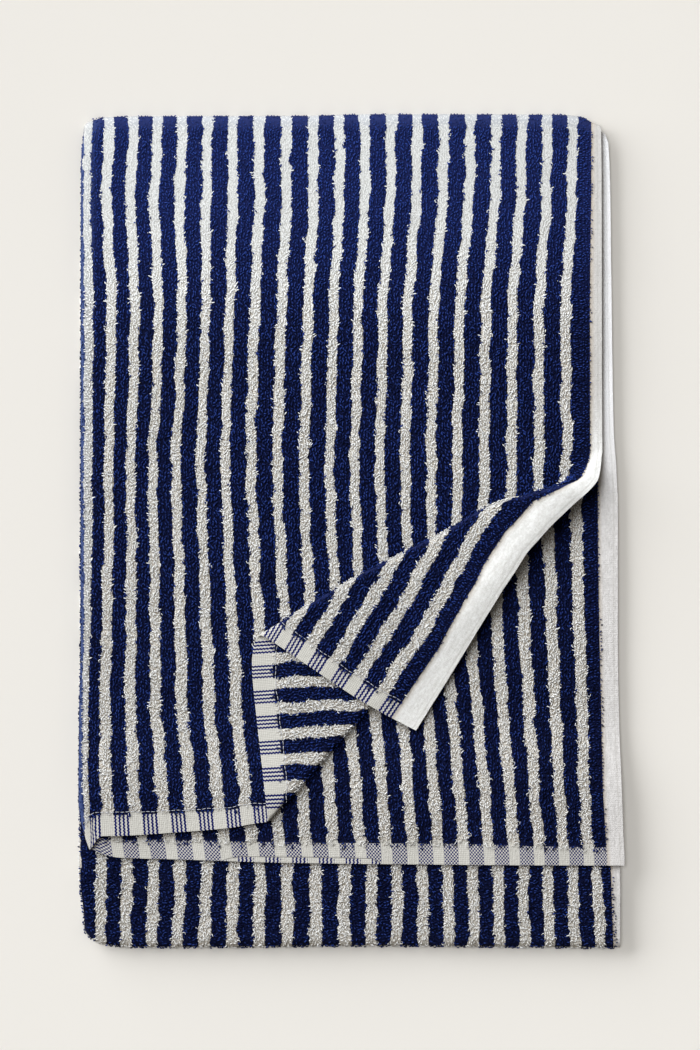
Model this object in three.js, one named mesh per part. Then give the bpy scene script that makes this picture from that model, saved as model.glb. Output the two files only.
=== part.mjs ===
// Striped terry bath sheet, folded: in half across its width, down over the top fold,
// back under itself at the bottom fold, with one corner of the top layer laid back in a pleat.
// Millimetres. +X to the right and +Y away along the towel, both as seen from above, +Z up.
import * as THREE from "three";

// Cloth
const CLOTH_LENGTH = 1650;
const THICKNESS = 3;
const LAYER_GAP = 1;
const LAYER_STEP = THICKNESS + LAYER_GAP;
const HALF_STEP = LAYER_STEP / 2;
const PACK_STEP = 2 * LAYER_STEP;
const LOWEST_PACK = THICKNESS / 2 + HALF_STEP;

// Fold lines that run across the towel, as centres of their turns
const TOP_TURN_Y = 389;
const BOTTOM_TURN_Y = -389;
const TURN_RADIUS = PACK_STEP / 2;
const HEM_AT_FOLD_Y = -302.5;
const TOP_PANEL = 707;
const MIDDLE_PANEL = TOP_TURN_Y - BOTTOM_TURN_Y;
const TURN_LENGTH = Math.PI * TURN_RADIUS;

// Distances along the cloth, from the hem that lies on top, where each panel starts or ends
const MIDDLE_START = TOP_PANEL + TURN_LENGTH;
const MIDDLE_END = MIDDLE_START + MIDDLE_PANEL;
const TAIL_START = MIDDLE_END + TURN_LENGTH;

// The long fold on the left, where the upper and lower halves meet in a half round
const ROUND_LENGTH = (Math.PI * HALF_STEP) / 2;

// Where the layers above the tucked-under tail climb over its hem
const STEP_TOP_Y = -248;
const STEP_FOOT_Y = -176;

// How far the layers rise and sink over the stack, as shares of their height
const WAVES = [
  { share: 0.045, alongX: 1 / 95, alongY: 0, turn: 0.6 },
  { share: 0.03, alongX: 0, alongY: 1 / 62, turn: 1.1 },
  { share: 0.03, alongX: 1 / 74, alongY: 1 / 81, turn: 1.9 },
];

// The upper half of the top panel stands proud of the lower, softly and unevenly
const PUFF_HEIGHT = 1.6;
const PUFF_LEFT_X = -256;
const PUFF_INSET = 45;
const SWELL = { alongX: 1 / 58, alongY: 1 / 83, turn: 1 };

// Outline of the top panel: the left fold, the free edge of the upper half before the
// pleat turns it, and the free edge of the lower half.
const TOP_EDGES = [
  { y: -308, left: -246, upper: 277.5, lower: 258.5 },
  { y: -288, left: -253, upper: 276, lower: 257.5 },
  { y: -256, left: -258.5, upper: 274.5, lower: 256.5 },
  { y: -173, left: -258, upper: 270, lower: 253.5 },
  { y: -100, left: -256.5, upper: 264, lower: 252.5 },
  { y: -47, left: -256.5, upper: 250, lower: 252.5 },
  { y: -14, left: -256.5, upper: 243.5, lower: 252.5 },
  { y: 15, left: -256.5, upper: 240, lower: 252.5 },
  { y: 60, left: -256.5, upper: 238.5, lower: 251 },
  { y: 95, left: -256.5, upper: 238.5, lower: 248.5 },
  { y: 219, left: -256.5, upper: 238.5, lower: 246.5 },
  { y: 366, left: -256, upper: 238.5, lower: 244 },
  { y: 397, left: -252.5, upper: 238.5, lower: 241.5 },
];

// Outline of the middle panel; its upper half lies lowest.
const MIDDLE_EDGES = [
  { y: -397, left: -252, upper: 241, lower: 254.5 },
  { y: -330, left: -257, upper: 243, lower: 254.5 },
  { y: -250, left: -256.5, upper: 244, lower: 252.5 },
  { y: 0, left: -256, upper: 241, lower: 248 },
  { y: 219, left: -255.5, upper: 238, lower: 243 },
  { y: 397, left: -252.5, upper: 236.5, lower: 239 },
];
const TAIL_EDGES = { left: -253, upper: 238, lower: 251 };
const TAIL_RUN_IN = 40;

// The hem's edge by its distance from the left fold: right along the upper half, and
// left (minus) along the lower half.
const HEM_LINE = [
  { from: -520, y: -318 },
  { from: -400, y: -317.5 },
  { from: -200, y: -315.5 },
  { from: -80, y: -312 },
  { from: -30, y: -310.5 },
  { from: -19, y: -309 },
  { from: -10, y: -306 },
  { from: -4, y: -303.2 },
  { from: 0, y: HEM_AT_FOLD_Y },
  { from: 4, y: -301.8 },
  { from: 10, y: -296.5 },
  { from: 19, y: -291.5 },
  { from: 32, y: -290 },
  { from: 81, y: -286.5 },
  { from: 130, y: -282.5 },
  { from: 171, y: -276.5 },
  { from: 302, y: -275 },
  { from: 334, y: -272 },
  { from: 357, y: -262 },
  { from: 449, y: -261 },
  { from: 492, y: -258 },
  { from: 540, y: -252 },
];
const FREE_EDGE_FROM = 480;

// How far the turns fall back from a straight line at the four corners
const TOP_FALL_BACK = [
  { x: -258, by: 17 },
  { x: -252, by: 8 },
  { x: -240, by: 2.5 },
  { x: -211, by: 0.5 },
  { x: -100, by: 0 },
  { x: 198, by: 0 },
  { x: 217, by: 2 },
  { x: 228, by: 8.5 },
  { x: 238, by: 12.5 },
  { x: 245, by: 24 },
];
const BOTTOM_FALL_BACK = [
  { x: -258, by: 22 },
  { x: -250, by: 11 },
  { x: -238, by: 4 },
  { x: -215, by: 1 },
  { x: -150, by: 0.5 },
  { x: 0, by: 2 },
  { x: 150, by: 1 },
  { x: 255, by: 0 },
];
const FALL_BACK_REACH = 75;

// The pleat in the upper half of the top panel. Its two folds fan out from this point,
// which lies beyond the free edge. By distance from it: the angle of the second fold, the
// one that lies over the top layer; how far the flap beyond it is turned; the radius of
// each fold; the height of the second fold and that of the flap where it comes to rest.
const PLEAT_X = 270.75;
const PLEAT_Y = 121;
const FIRST_FOLD_ANGLE = 48.6;
const PLEAT = [
  { out: 57, second: 57, turn: 0, firstRound: 4, secondRound: 4, crest: 0, rest: 0 },
  { out: 75, second: 55, turn: 4, firstRound: 4, secondRound: 4, crest: 6, rest: 4 },
  { out: 90, second: 52.3, turn: 9.3, firstRound: 3.2, secondRound: 4, crest: 14, rest: 8 },
  { out: 107, second: 46.3, turn: 15.3, firstRound: 2.5, secondRound: 4, crest: 20, rest: 8 },
  { out: 125, second: 41.5, turn: 20.5, firstRound: 2, secondRound: 3.8, crest: 20, rest: 7 },
  { out: 142, second: 38.4, turn: 24.6, firstRound: 2, secondRound: 3.5, crest: 18, rest: 6 },
  { out: 160, second: 35.4, turn: 27.9, firstRound: 2, secondRound: 3.2, crest: 16, rest: 5 },
  { out: 180, second: 34.1, turn: 31, firstRound: 2, secondRound: 3, crest: 14, rest: 4 },
  { out: 222, second: 33.4, turn: 34.2, firstRound: 2, secondRound: 2.5, crest: 12, rest: 2.5 },
  { out: 270, second: 32.2, turn: 34.6, firstRound: 2, secondRound: 2.2, crest: 11, rest: 1.5 },
  { out: 330, second: 31.5, turn: 34.6, firstRound: 2, secondRound: 2, crest: 10, rest: 1 },
  { out: 560, second: 31.4, turn: 34.6, firstRound: 2, secondRound: 2, crest: 9.2, rest: 1.5 },
];
const PLEAT_START = PLEAT[0].out;
const PLEAT_RUN_IN = 25;
const FLAP_FALL = 42;
const FLAP_LEDGE = 8;
const FLAP_FAR_ANGLE = 104;
const FLAP_BEND = 7;
const OPEN_CREST = 12;

// Mesh rows and columns
const FOLD_SEGMENTS = 6;
const FINE_SHARES = [0.012, 0.03, 0.06, 0.12, 0.26, 0.42, 0.58, 0.74, 0.88, 0.94, 0.97, 0.988];
const COARSE_SHARES = [0.04, 0.16, 0.33, 0.5, 0.67, 0.84, 0.96];
const CORNER_REACH = 62;
const PLEATED_ROWS_BELOW_Y = 96;
const ROW_BANDS = [
  { to: -284, every: 6 },
  { to: -248, every: 12 },
  { to: -84, every: 23 },
  { to: 20, every: 11 },
  { to: 96, every: 6.4 },
  { to: 330, every: 39 },
  { to: 389, every: 20 },
];
const MIDDLE_ROWS = [
  -378, -358, -325, -290, -248, -230, -212, -194, -176, -100, 20, 140, 250, 325, 358, 378,
];
const TAIL_ROWS = [-368, -335, -290];
const MIDDLE_CORNER_REACH = 67;
const NOMINAL_HEM_Y = -290;
const COLUMNS_LEFT_OF_PLEAT = 8;
const COLUMNS_IN_PLEAT = 4;
const COLUMNS_RIGHT_OF_PLEAT = 5;
const CREASE_OFFSETS = [-2.4, -1, -0.67, -0.33, 0, 0.33, 0.67, 1, 2.4];
const CREASE_SHARE = 0.4;
const STRAIGHT_ABOVE_Y = 57;
const SOLVE_STEPS = 30;
const SMALLEST_BEND = 1e-4;

const RADIANS = Math.PI / 180;

function clamp(value, low, high) {
  return Math.min(high, Math.max(low, value));
}

function ease(value, from, to) {
  const share = clamp((value - from) / (to - from), 0, 1);
  return share * share * (3 - 2 * share);
}

// A column of a table read between its rows by a cubic that never overshoots them
function read(table, by, column, at) {
  const last = table.length - 1;
  if (at <= table[0][by]) return table[0][column];
  if (at >= table[last][by]) return table[last][column];
  let i = 0;
  while (table[i + 1][by] < at) i += 1;
  const run = (k) => table[k + 1][by] - table[k][by];
  const rise = (k) => (table[k + 1][column] - table[k][column]) / run(k);
  const slope = (k) => {
    if (k === 0) return rise(0);
    if (k === last) return rise(last - 1);
    const before = rise(k - 1);
    const after = rise(k);
    return before * after <= 0 ? 0 : (2 * before * after) / (before + after);
  };
  const t = (at - table[i][by]) / run(i);
  const left = table[i][column];
  const right = table[i + 1][column];
  const a = slope(i) * run(i);
  const b = slope(i + 1) * run(i);
  const square = t * t;
  const cube = square * t;
  return (
    left * (2 * cube - 3 * square + 1) +
    a * (cube - 2 * square + t) +
    right * (3 * square - 2 * cube) +
    b * (cube - square)
  );
}

function line(from, to) {
  return { from, to, length: Math.hypot(to.q - from.q, to.z - from.z) };
}

function arc(centre, radius, start, sweep) {
  return { centre, radius, start, sweep, length: Math.abs(sweep) * radius };
}

function alongPiece(piece, length) {
  const share = piece.length > 0 ? length / piece.length : 0;
  if (piece.centre) {
    const angle = piece.start + piece.sweep * share;
    return {
      q: piece.centre.q + piece.radius * Math.cos(angle),
      z: piece.centre.z + piece.radius * Math.sin(angle),
    };
  }
  return {
    q: piece.from.q + (piece.to.q - piece.from.q) * share,
    z: piece.from.z + (piece.to.z - piece.from.z) * share,
  };
}

// Lines through the corners, each inner corner cut by a tangent arc
function softened(corners, cut) {
  const pieces = [];
  let from = corners[0];
  for (let i = 1; i < corners.length - 1; i += 1) {
    const here = corners[i];
    const before = Math.atan2(here.z - corners[i - 1].z, here.q - corners[i - 1].q);
    const after = Math.atan2(corners[i + 1].z - here.z, corners[i + 1].q - here.q);
    const bend = after - before;
    const tangent = { q: here.q - cut * Math.cos(before), z: here.z - cut * Math.sin(before) };
    pieces.push(line(from, tangent));
    from = tangent;
    if (Math.abs(bend) > SMALLEST_BEND) {
      const radius = cut / Math.tan(Math.abs(bend) / 2);
      const side = Math.sign(bend);
      const centre = {
        q: tangent.q - side * radius * Math.sin(before),
        z: tangent.z + side * radius * Math.cos(before),
      };
      const round = arc(centre, radius, before - (side * Math.PI) / 2, bend);
      pieces.push(round);
      from = alongPiece(round, round.length);
    }
  }
  pieces.push(line(from, corners[corners.length - 1]));
  return pieces;
}

// The pleat cut along a circle about its point: flat, back over the first fold, forward
// over the second, down to its rest. q runs along the circle.
function pleatSection(out) {
  const value = (column) => read(PLEAT, "out", column, out);
  const turn = value("turn") * RADIANS;
  const crest = value("crest");
  const open = ease(crest, 0, OPEN_CREST);
  const skin = THICKNESS / 2;
  const firstRound = value("firstRound");
  const secondRound = value("secondRound");
  const firstQ = out * FIRST_FOLD_ANGLE * RADIANS - open * (firstRound + skin);
  const secondQ = out * value("second") * RADIANS + open * (secondRound + skin);
  const run = secondQ - firstQ;
  const rounds = firstRound + secondRound;
  const straight = Math.sqrt(Math.max(0, run * run + crest * crest - 2 * crest * rounds));
  const bend = Math.atan2(crest - rounds, run) + Math.atan2(rounds, straight);
  const startQ = out * FIRST_FOLD_ANGLE * RADIANS - PLEAT_RUN_IN;
  const firstArc = arc({ q: firstQ, z: firstRound }, firstRound, -Math.PI / 2, bend);
  const secondCentre = { q: secondQ, z: crest - secondRound };
  const secondArc = arc(secondCentre, secondRound, bend + Math.PI / 2, -bend);
  const farQ = out * (FLAP_FAR_ANGLE * RADIANS - turn);
  const ledgeQ = Math.max(firstQ + firstRound, secondQ) + FLAP_LEDGE;
  const restQ = ledgeQ + FLAP_FALL;
  const rest = value("rest");
  const pieces = [
    line({ q: startQ, z: 0 }, { q: firstQ, z: 0 }),
    firstArc,
    line(alongPiece(firstArc, firstArc.length), alongPiece(secondArc, 0)),
    secondArc,
    ...softened(
      [
        { q: secondQ, z: crest },
        { q: ledgeQ, z: crest },
        { q: restQ, z: rest },
        { q: Math.max(farQ, restQ + FLAP_BEND), z: rest },
      ],
      FLAP_BEND,
    ),
  ];
  const total = pieces.reduce((sum, piece) => sum + piece.length, 0);
  const firstMark = pieces[0].length + firstArc.length / 2;
  const secondMark = pieces[0].length + firstArc.length + pieces[2].length + secondArc.length / 2;
  return { pieces, firstMark, secondMark, total };
}

// Angle in the flat cloth of the pleat's second fold
function secondFoldAngle(out) {
  return read(PLEAT, "out", "second", out) + read(PLEAT, "out", "turn", out);
}

// Moves a point of the flat top layer to where the pleat takes it.
function pleated(x, y) {
  const out = Math.hypot(x - PLEAT_X, y - PLEAT_Y);
  const angle = Math.atan2(PLEAT_Y - y, PLEAT_X - x);
  const firstAngle = FIRST_FOLD_ANGLE * RADIANS;
  const runIn = PLEAT_RUN_IN / out;
  if (out < PLEAT_START || angle < firstAngle - runIn) return { x, y, lift: 0 };
  const section = pleatSection(out);
  const { firstMark, secondMark, total } = section;
  const secondAngle = secondFoldAngle(out) * RADIANS;
  const farAngle = FLAP_FAR_ANGLE * RADIANS;
  let length;
  if (angle < firstAngle) {
    length = (firstMark * (angle - firstAngle + runIn)) / runIn;
  } else if (angle < secondAngle) {
    const share = (angle - firstAngle) / (secondAngle - firstAngle);
    length = firstMark + (secondMark - firstMark) * share;
  } else {
    const share = (angle - secondAngle) / (farAngle - secondAngle);
    length = secondMark + (total - secondMark) * share;
  }
  let i = 0;
  while (i < section.pieces.length - 1 && length > section.pieces[i].length) {
    length -= section.pieces[i].length;
    i += 1;
  }
  const at = alongPiece(section.pieces[i], length);
  const turned = at.q / out;
  return {
    x: PLEAT_X - out * Math.cos(turned),
    y: PLEAT_Y - out * Math.sin(turned),
    lift: at.z,
  };
}

// Height of the pack of two halves where it lies over the tail
function climb(y) {
  return PACK_STEP * (1 - ease(y, STEP_TOP_Y, STEP_FOOT_Y));
}

// Distance to the side and height off the pack's middle for a point `from` the left fold
function acrossHalf(from) {
  const distance = Math.abs(from);
  if (distance < ROUND_LENGTH) {
    const angle = from / HALF_STEP;
    return { side: HALF_STEP * (1 - Math.cos(angle)), off: HALF_STEP * Math.sin(angle) };
  }
  return { side: HALF_STEP + distance - ROUND_LENGTH, off: Math.sign(from) * HALF_STEP };
}

function leftEdge(table, y) {
  return read(table, "y", "left", y) + THICKNESS / 2;
}

// A point of the cloth's middle surface. `from` is its distance from the left fold, minus
// on the lower half; `along` is its distance from the hem that lies on top.
function clothPoint(from, along) {
  const { side, off } = acrossHalf(from);
  if (along <= TOP_PANEL) {
    const share = along / TOP_PANEL;
    const hem = read(HEM_LINE, "from", "y", from);
    const foldY = HEM_AT_FOLD_Y + share * (TOP_TURN_Y - HEM_AT_FOLD_Y);
    const flat = {
      x: leftEdge(TOP_EDGES, foldY) + side,
      y: hem + share * (TOP_TURN_Y - hem),
      lift: 0,
    };
    const laid = from > 0 ? pleated(flat.x, flat.y) : flat;
    const z = LOWEST_PACK + PACK_STEP + climb(laid.y) + off + laid.lift;
    return new THREE.Vector3(laid.x, laid.y, z);
  }
  if (along < MIDDLE_START) {
    const angle = (along - TOP_PANEL) / TURN_RADIUS;
    const radius = TURN_RADIUS + off;
    return new THREE.Vector3(
      leftEdge(TOP_EDGES, TOP_TURN_Y) + side,
      TOP_TURN_Y + radius * Math.sin(angle),
      LOWEST_PACK + TURN_RADIUS + radius * Math.cos(angle),
    );
  }
  if (along <= MIDDLE_END) {
    const y = TOP_TURN_Y - (along - MIDDLE_START);
    return new THREE.Vector3(
      leftEdge(MIDDLE_EDGES, y) + side,
      y,
      LOWEST_PACK + climb(y) - off,
    );
  }
  if (along < TAIL_START) {
    const angle = (along - MIDDLE_END) / TURN_RADIUS;
    const radius = TURN_RADIUS - off;
    return new THREE.Vector3(
      leftEdge(MIDDLE_EDGES, BOTTOM_TURN_Y) + side,
      BOTTOM_TURN_Y - radius * Math.sin(angle),
      LOWEST_PACK + TURN_RADIUS + radius * Math.cos(angle),
    );
  }
  const y = BOTTOM_TURN_Y + (along - TAIL_START);
  const share = ease(y, BOTTOM_TURN_Y, BOTTOM_TURN_Y + TAIL_RUN_IN);
  const left = leftEdge(MIDDLE_EDGES, BOTTOM_TURN_Y);
  return new THREE.Vector3(
    left + (TAIL_EDGES.left + THICKNESS / 2 - left) * share + side,
    y,
    LOWEST_PACK + off,
  );
}

// Distance from the left fold to the free edge of the upper or lower half
function freeEdge(along, half) {
  const sign = half === "upper" ? 1 : -1;
  let width;
  if (along <= TOP_PANEL) {
    const share = along / TOP_PANEL;
    const foldY = HEM_AT_FOLD_Y + share * (TOP_TURN_Y - HEM_AT_FOLD_Y);
    const hem = read(HEM_LINE, "from", "y", sign * FREE_EDGE_FROM);
    const y = hem + share * (TOP_TURN_Y - hem);
    width = read(TOP_EDGES, "y", half, y) - leftEdge(TOP_EDGES, foldY);
  } else if (along <= MIDDLE_END) {
    const y = Math.min(TOP_TURN_Y, TOP_TURN_Y - (along - MIDDLE_START));
    const turned = clamp((along - TOP_PANEL) / TURN_LENGTH, 0, 1);
    const start = read(TOP_EDGES, "y", half, TOP_TURN_Y) - leftEdge(TOP_EDGES, TOP_TURN_Y);
    const end = read(MIDDLE_EDGES, "y", half, y) - leftEdge(MIDDLE_EDGES, y);
    width = start + (end - start) * turned;
  } else {
    const turned = clamp((along - MIDDLE_END) / TURN_LENGTH, 0, 1);
    const y = BOTTOM_TURN_Y;
    const start = read(MIDDLE_EDGES, "y", half, y) - leftEdge(MIDDLE_EDGES, y);
    const gone = turned * ease(along, MIDDLE_END, TAIL_START + TAIL_RUN_IN);
    width = start + (TAIL_EDGES[half] - TAIL_EDGES.left - start) * gone;
  }
  return width - HALF_STEP + ROUND_LENGTH;
}

// Direction out of the upper face of the cloth
function clothNormal(from, along) {
  const STEP = 0.02;
  const across = clothPoint(from + STEP, along).sub(clothPoint(from - STEP, along));
  const down = clothPoint(from, along + STEP).sub(clothPoint(from, along - STEP));
  return across.cross(down).normalize();
}

// Takes the neatly stacked layers to their uneven rest: heights vary over the stack, the
// upper half stands a little proud of the lower, and the turns fall back at the corners.
function settled(point, upperTop) {
  const fromTop = read(TOP_FALL_BACK, "x", "by", point.x);
  const fromBottom = read(BOTTOM_FALL_BACK, "x", "by", point.x);
  const nearTop = ease(point.y, TOP_TURN_Y - FALL_BACK_REACH, TOP_TURN_Y);
  const nearBottom = ease(-point.y, -BOTTOM_TURN_Y - FALL_BACK_REACH, -BOTTOM_TURN_Y);
  const y = point.y - fromTop * nearTop + fromBottom * nearBottom;
  let share = 1;
  for (const wave of WAVES) {
    share += wave.share * Math.sin(point.x * wave.alongX + point.y * wave.alongY + wave.turn);
  }
  const inset =
    ease(point.x, PUFF_LEFT_X, PUFF_LEFT_X + PUFF_INSET) *
    (1 - ease(y, TOP_TURN_Y - PUFF_INSET, TOP_TURN_Y));
  const swell = Math.sin(point.x * SWELL.alongX + SWELL.turn) * Math.cos(y * SWELL.alongY);
  const puff = upperTop ? (PUFF_HEIGHT * inset * (1 + swell)) / 2 : 0;
  return new THREE.Vector3(point.x, y, point.z * share + puff);
}

// Pre-pleat x of the two folds in the row at height y
function creaseX(angleAt, y) {
  const height = PLEAT_Y - Math.min(y, STRAIGHT_ABOVE_Y);
  let out = height;
  for (let i = 0; i < SOLVE_STEPS; i += 1) out = height / Math.sin(angleAt(out) * RADIANS);
  return PLEAT_X - out * Math.cos(angleAt(out) * RADIANS);
}

function spread(from, to, count) {
  return Array.from({ length: count }, (_, i) => from + ((to - from) * (i + 1)) / (count + 1));
}

// Distances from the left fold, on the upper half, of the columns of a pleated row
function pleatedColumns(along) {
  const share = along / TOP_PANEL;
  const foldY = HEM_AT_FOLD_Y + share * (TOP_TURN_Y - HEM_AT_FOLD_Y);
  const left = leftEdge(TOP_EDGES, foldY) + HALF_STEP - ROUND_LENGTH;
  const edge = freeEdge(along, "upper");
  const rowY = (from) => {
    const hem = read(HEM_LINE, "from", "y", from);
    return hem + share * (TOP_TURN_Y - hem);
  };
  const locate = (angleAt) => {
    let from = edge / 2;
    for (let i = 0; i < SOLVE_STEPS; i += 1) {
      from += (creaseX(angleAt, rowY(from)) - left - from) / 2;
    }
    return from;
  };
  const first = locate(() => FIRST_FOLD_ANGLE);
  const second = locate(secondFoldAngle);
  const roll = (from) => {
    const y = rowY(from);
    return Math.hypot(left + from - PLEAT_X, y - PLEAT_Y);
  };
  const halfRound = (Math.PI * LAYER_STEP) / 4;
  const rollRound = (Math.PI * 2 * read(PLEAT, "out", "secondRound", roll(second))) / 4;
  const firstReach = halfRound / Math.sin(FIRST_FOLD_ANGLE * RADIANS);
  const secondReach = Math.max(halfRound, rollRound) / Math.sin(secondFoldAngle(roll(second)) * RADIANS);
  const widest = CREASE_OFFSETS[CREASE_OFFSETS.length - 1];
  const fit = (reach, room) => Math.min(reach, (room * CREASE_SHARE) / widest);
  const near = (fold, reach, leftRoom, rightRoom) =>
    CREASE_OFFSETS.map((offset) => {
      const room = offset < 0 ? leftRoom : rightRoom;
      return fold + offset * fit(reach, room);
    });
  const atFirst = near(first, firstReach, first, second - first);
  const atSecond = near(second, secondReach, second - first, edge - second);
  return [
    ...spread(ROUND_LENGTH, atFirst[0], COLUMNS_LEFT_OF_PLEAT),
    ...atFirst,
    ...spread(atFirst[atFirst.length - 1], atSecond[0], COLUMNS_IN_PLEAT),
    ...atSecond,
    ...spread(atSecond[atSecond.length - 1], edge, COLUMNS_RIGHT_OF_PLEAT),
    edge,
  ];
}

// A row of the mesh: distances from the left fold, from the lower free edge over the left
// fold to the upper free edge
function rowColumns(along, kind) {
  const lower = freeEdge(along, "lower");
  const upper = freeEdge(along, "upper");
  const round = Array.from(
    { length: FOLD_SEGMENTS + 1 },
    (_, i) => ROUND_LENGTH * ((2 * i) / FOLD_SEGMENTS - 1),
  );
  const shares = kind === "fine" ? FINE_SHARES : COARSE_SHARES;
  const place = (edge) => shares.map((share) => ROUND_LENGTH + (edge - ROUND_LENGTH) * share);
  const lowerPart = place(lower).map((from) => -from).reverse();
  const upperPart = kind === "pleated" ? pleatedColumns(along) : [...place(upper), upper];
  return [-lower, ...lowerPart, ...round, ...upperPart];
}

function topRowKind(y) {
  if (y < PLEATED_ROWS_BELOW_Y) return "pleated";
  return y > TOP_TURN_Y - CORNER_REACH ? "fine" : "coarse";
}

// Every row of the mesh, from the hem on top to the hem of the tail
function clothRows() {
  const rows = [];
  let y = NOMINAL_HEM_Y;
  for (const band of ROW_BANDS) {
    const count = Math.max(1, Math.round((band.to - y) / band.every));
    for (let i = 0; i < count; i += 1) {
      const at = y + ((band.to - y) * i) / count;
      rows.push({
        along: (TOP_PANEL * (at - NOMINAL_HEM_Y)) / (TOP_TURN_Y - NOMINAL_HEM_Y),
        kind: topRowKind(at),
      });
    }
    y = band.to;
  }
  for (let i = 0; i <= FOLD_SEGMENTS; i += 1) {
    rows.push({ along: TOP_PANEL + (TURN_LENGTH * i) / FOLD_SEGMENTS, kind: "fine" });
  }
  for (const at of [...MIDDLE_ROWS].reverse()) {
    const nearTurn = Math.abs(at) > TOP_TURN_Y - MIDDLE_CORNER_REACH;
    rows.push({ along: MIDDLE_START + TOP_TURN_Y - at, kind: nearTurn ? "fine" : "coarse" });
  }
  for (let i = 0; i <= FOLD_SEGMENTS; i += 1) {
    rows.push({ along: MIDDLE_END + (TURN_LENGTH * i) / FOLD_SEGMENTS, kind: "fine" });
  }
  for (const at of TAIL_ROWS) rows.push({ along: TAIL_START + at - BOTTOM_TURN_Y, kind: "fine" });
  rows.push({ along: CLOTH_LENGTH, kind: "fine" });
  return rows;
}

// Triangles that join two neighbouring rows whose columns may differ in number
function joinRows(a, b, triangles) {
  let i = 0;
  let j = 0;
  while (i < a.ids.length - 1 || j < b.ids.length - 1) {
    const stepA = i < a.ids.length - 1;
    const stepB = j < b.ids.length - 1;
    const nextA = stepA ? a.at[i + 1] : Infinity;
    const nextB = stepB ? b.at[j + 1] : Infinity;
    if (stepA && (!stepB || nextA <= nextB)) {
      triangles.push([a.ids[i], a.ids[i + 1], b.ids[j]]);
      i += 1;
    } else {
      triangles.push([a.ids[i], b.ids[j + 1], b.ids[j]]);
      j += 1;
    }
  }
}

function buildTowel() {
  const positions = [];
  const triangles = [];
  const rows = clothRows().map((row) => {
    const columns = rowColumns(row.along, row.kind);
    const made = { kind: row.kind, along: row.along, at: [], upperIds: [], lowerIds: [] };
    columns.forEach((from) => {
      const middle = clothPoint(from, row.along);
      const offset = clothNormal(from, row.along).multiplyScalar(THICKNESS / 2);
      const upperTop = from > ROUND_LENGTH && row.along < TOP_PANEL;
      const over = settled(middle.clone().add(offset), upperTop);
      const under = settled(middle.clone().sub(offset), upperTop);
      made.upperIds.push(positions.length);
      positions.push(over);
      made.lowerIds.push(positions.length);
      positions.push(under);
      made.at.push(from / (from < 0 ? -columns[0] : columns[columns.length - 1]));
    });
    return made;
  });
  const face = (row, side) => ({ ids: row[side], at: row.at });
  const plain = (row) => ({
    ids: row.upperIds,
    at: row.at.map((_, k) => k / (row.at.length - 1)),
  });
  for (let r = 0; r < rows.length - 1; r += 1) {
    const same = rows[r].kind === rows[r + 1].kind;
    const one = same ? plain(rows[r]) : face(rows[r], "upperIds");
    const two = same ? plain(rows[r + 1]) : face(rows[r + 1], "upperIds");
    const upper = [];
    joinRows(one, two, upper);
    triangles.push(...upper);
    for (const [p, q, s] of upper) triangles.push([p + 1, s + 1, q + 1]);
    for (const end of [0, 1]) {
      const pick = (row) => row.upperIds[end ? row.upperIds.length - 1 : 0];
      const p = pick(rows[r]);
      const q = pick(rows[r + 1]);
      if (end) triangles.push([p, p + 1, q + 1], [p, q + 1, q]);
      else triangles.push([p, q, q + 1], [p, q + 1, p + 1]);
    }
  }
  for (const [row, isFirst] of [
    [rows[0], true],
    [rows[rows.length - 1], false],
  ]) {
    for (let k = 0; k < row.upperIds.length - 1; k += 1) {
      const p = row.upperIds[k];
      const q = row.upperIds[k + 1];
      if (isFirst) triangles.push([p, p + 1, q + 1], [p, q + 1, q]);
      else triangles.push([p, q, q + 1], [p, q + 1, p + 1]);
    }
  }
  return { positions, triangles };
}

function makeGeometry({ positions, triangles }) {
  const box = new THREE.Box3().setFromPoints(positions);
  const centre = box.getCenter(new THREE.Vector3());
  const values = new Float32Array(positions.length * 3);
  positions.forEach((p, i) => {
    values.set([p.x - centre.x, p.y - centre.y, p.z - box.min.z], 3 * i);
  });
  const geometry = new THREE.BufferGeometry();
  geometry.setAttribute("position", new THREE.BufferAttribute(values, 3));
  geometry.setIndex(triangles.flat());
  const a = new THREE.Vector3();
  const b = new THREE.Vector3();
  const c = new THREE.Vector3();
  let volume = 0;
  for (const [p, q, s] of triangles) {
    a.fromArray(values, 3 * p);
    b.fromArray(values, 3 * q);
    c.fromArray(values, 3 * s);
    volume += a.dot(b.cross(c)) / 6;
  }
  if (volume < 0) geometry.setIndex(triangles.flatMap(([p, q, s]) => [p, s, q]));
  geometry.computeVertexNormals();
  return geometry;
}

const terry = new THREE.MeshStandardMaterial({ color: 0x8d8f9b, roughness: 0.95, metalness: 0 });
const towel = new THREE.Mesh(makeGeometry(buildTowel()), terry);
towel.name = "towel";

const part = new THREE.Group();
part.name = "bath_sheet";
part.add(towel);

export default part;
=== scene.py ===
"""A striped terry bath sheet, folded flat, with one corner laid back in a pleat."""

import math

import bpy
import numpy as np
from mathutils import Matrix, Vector
from mathutils.bvhtree import BVHTree


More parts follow.
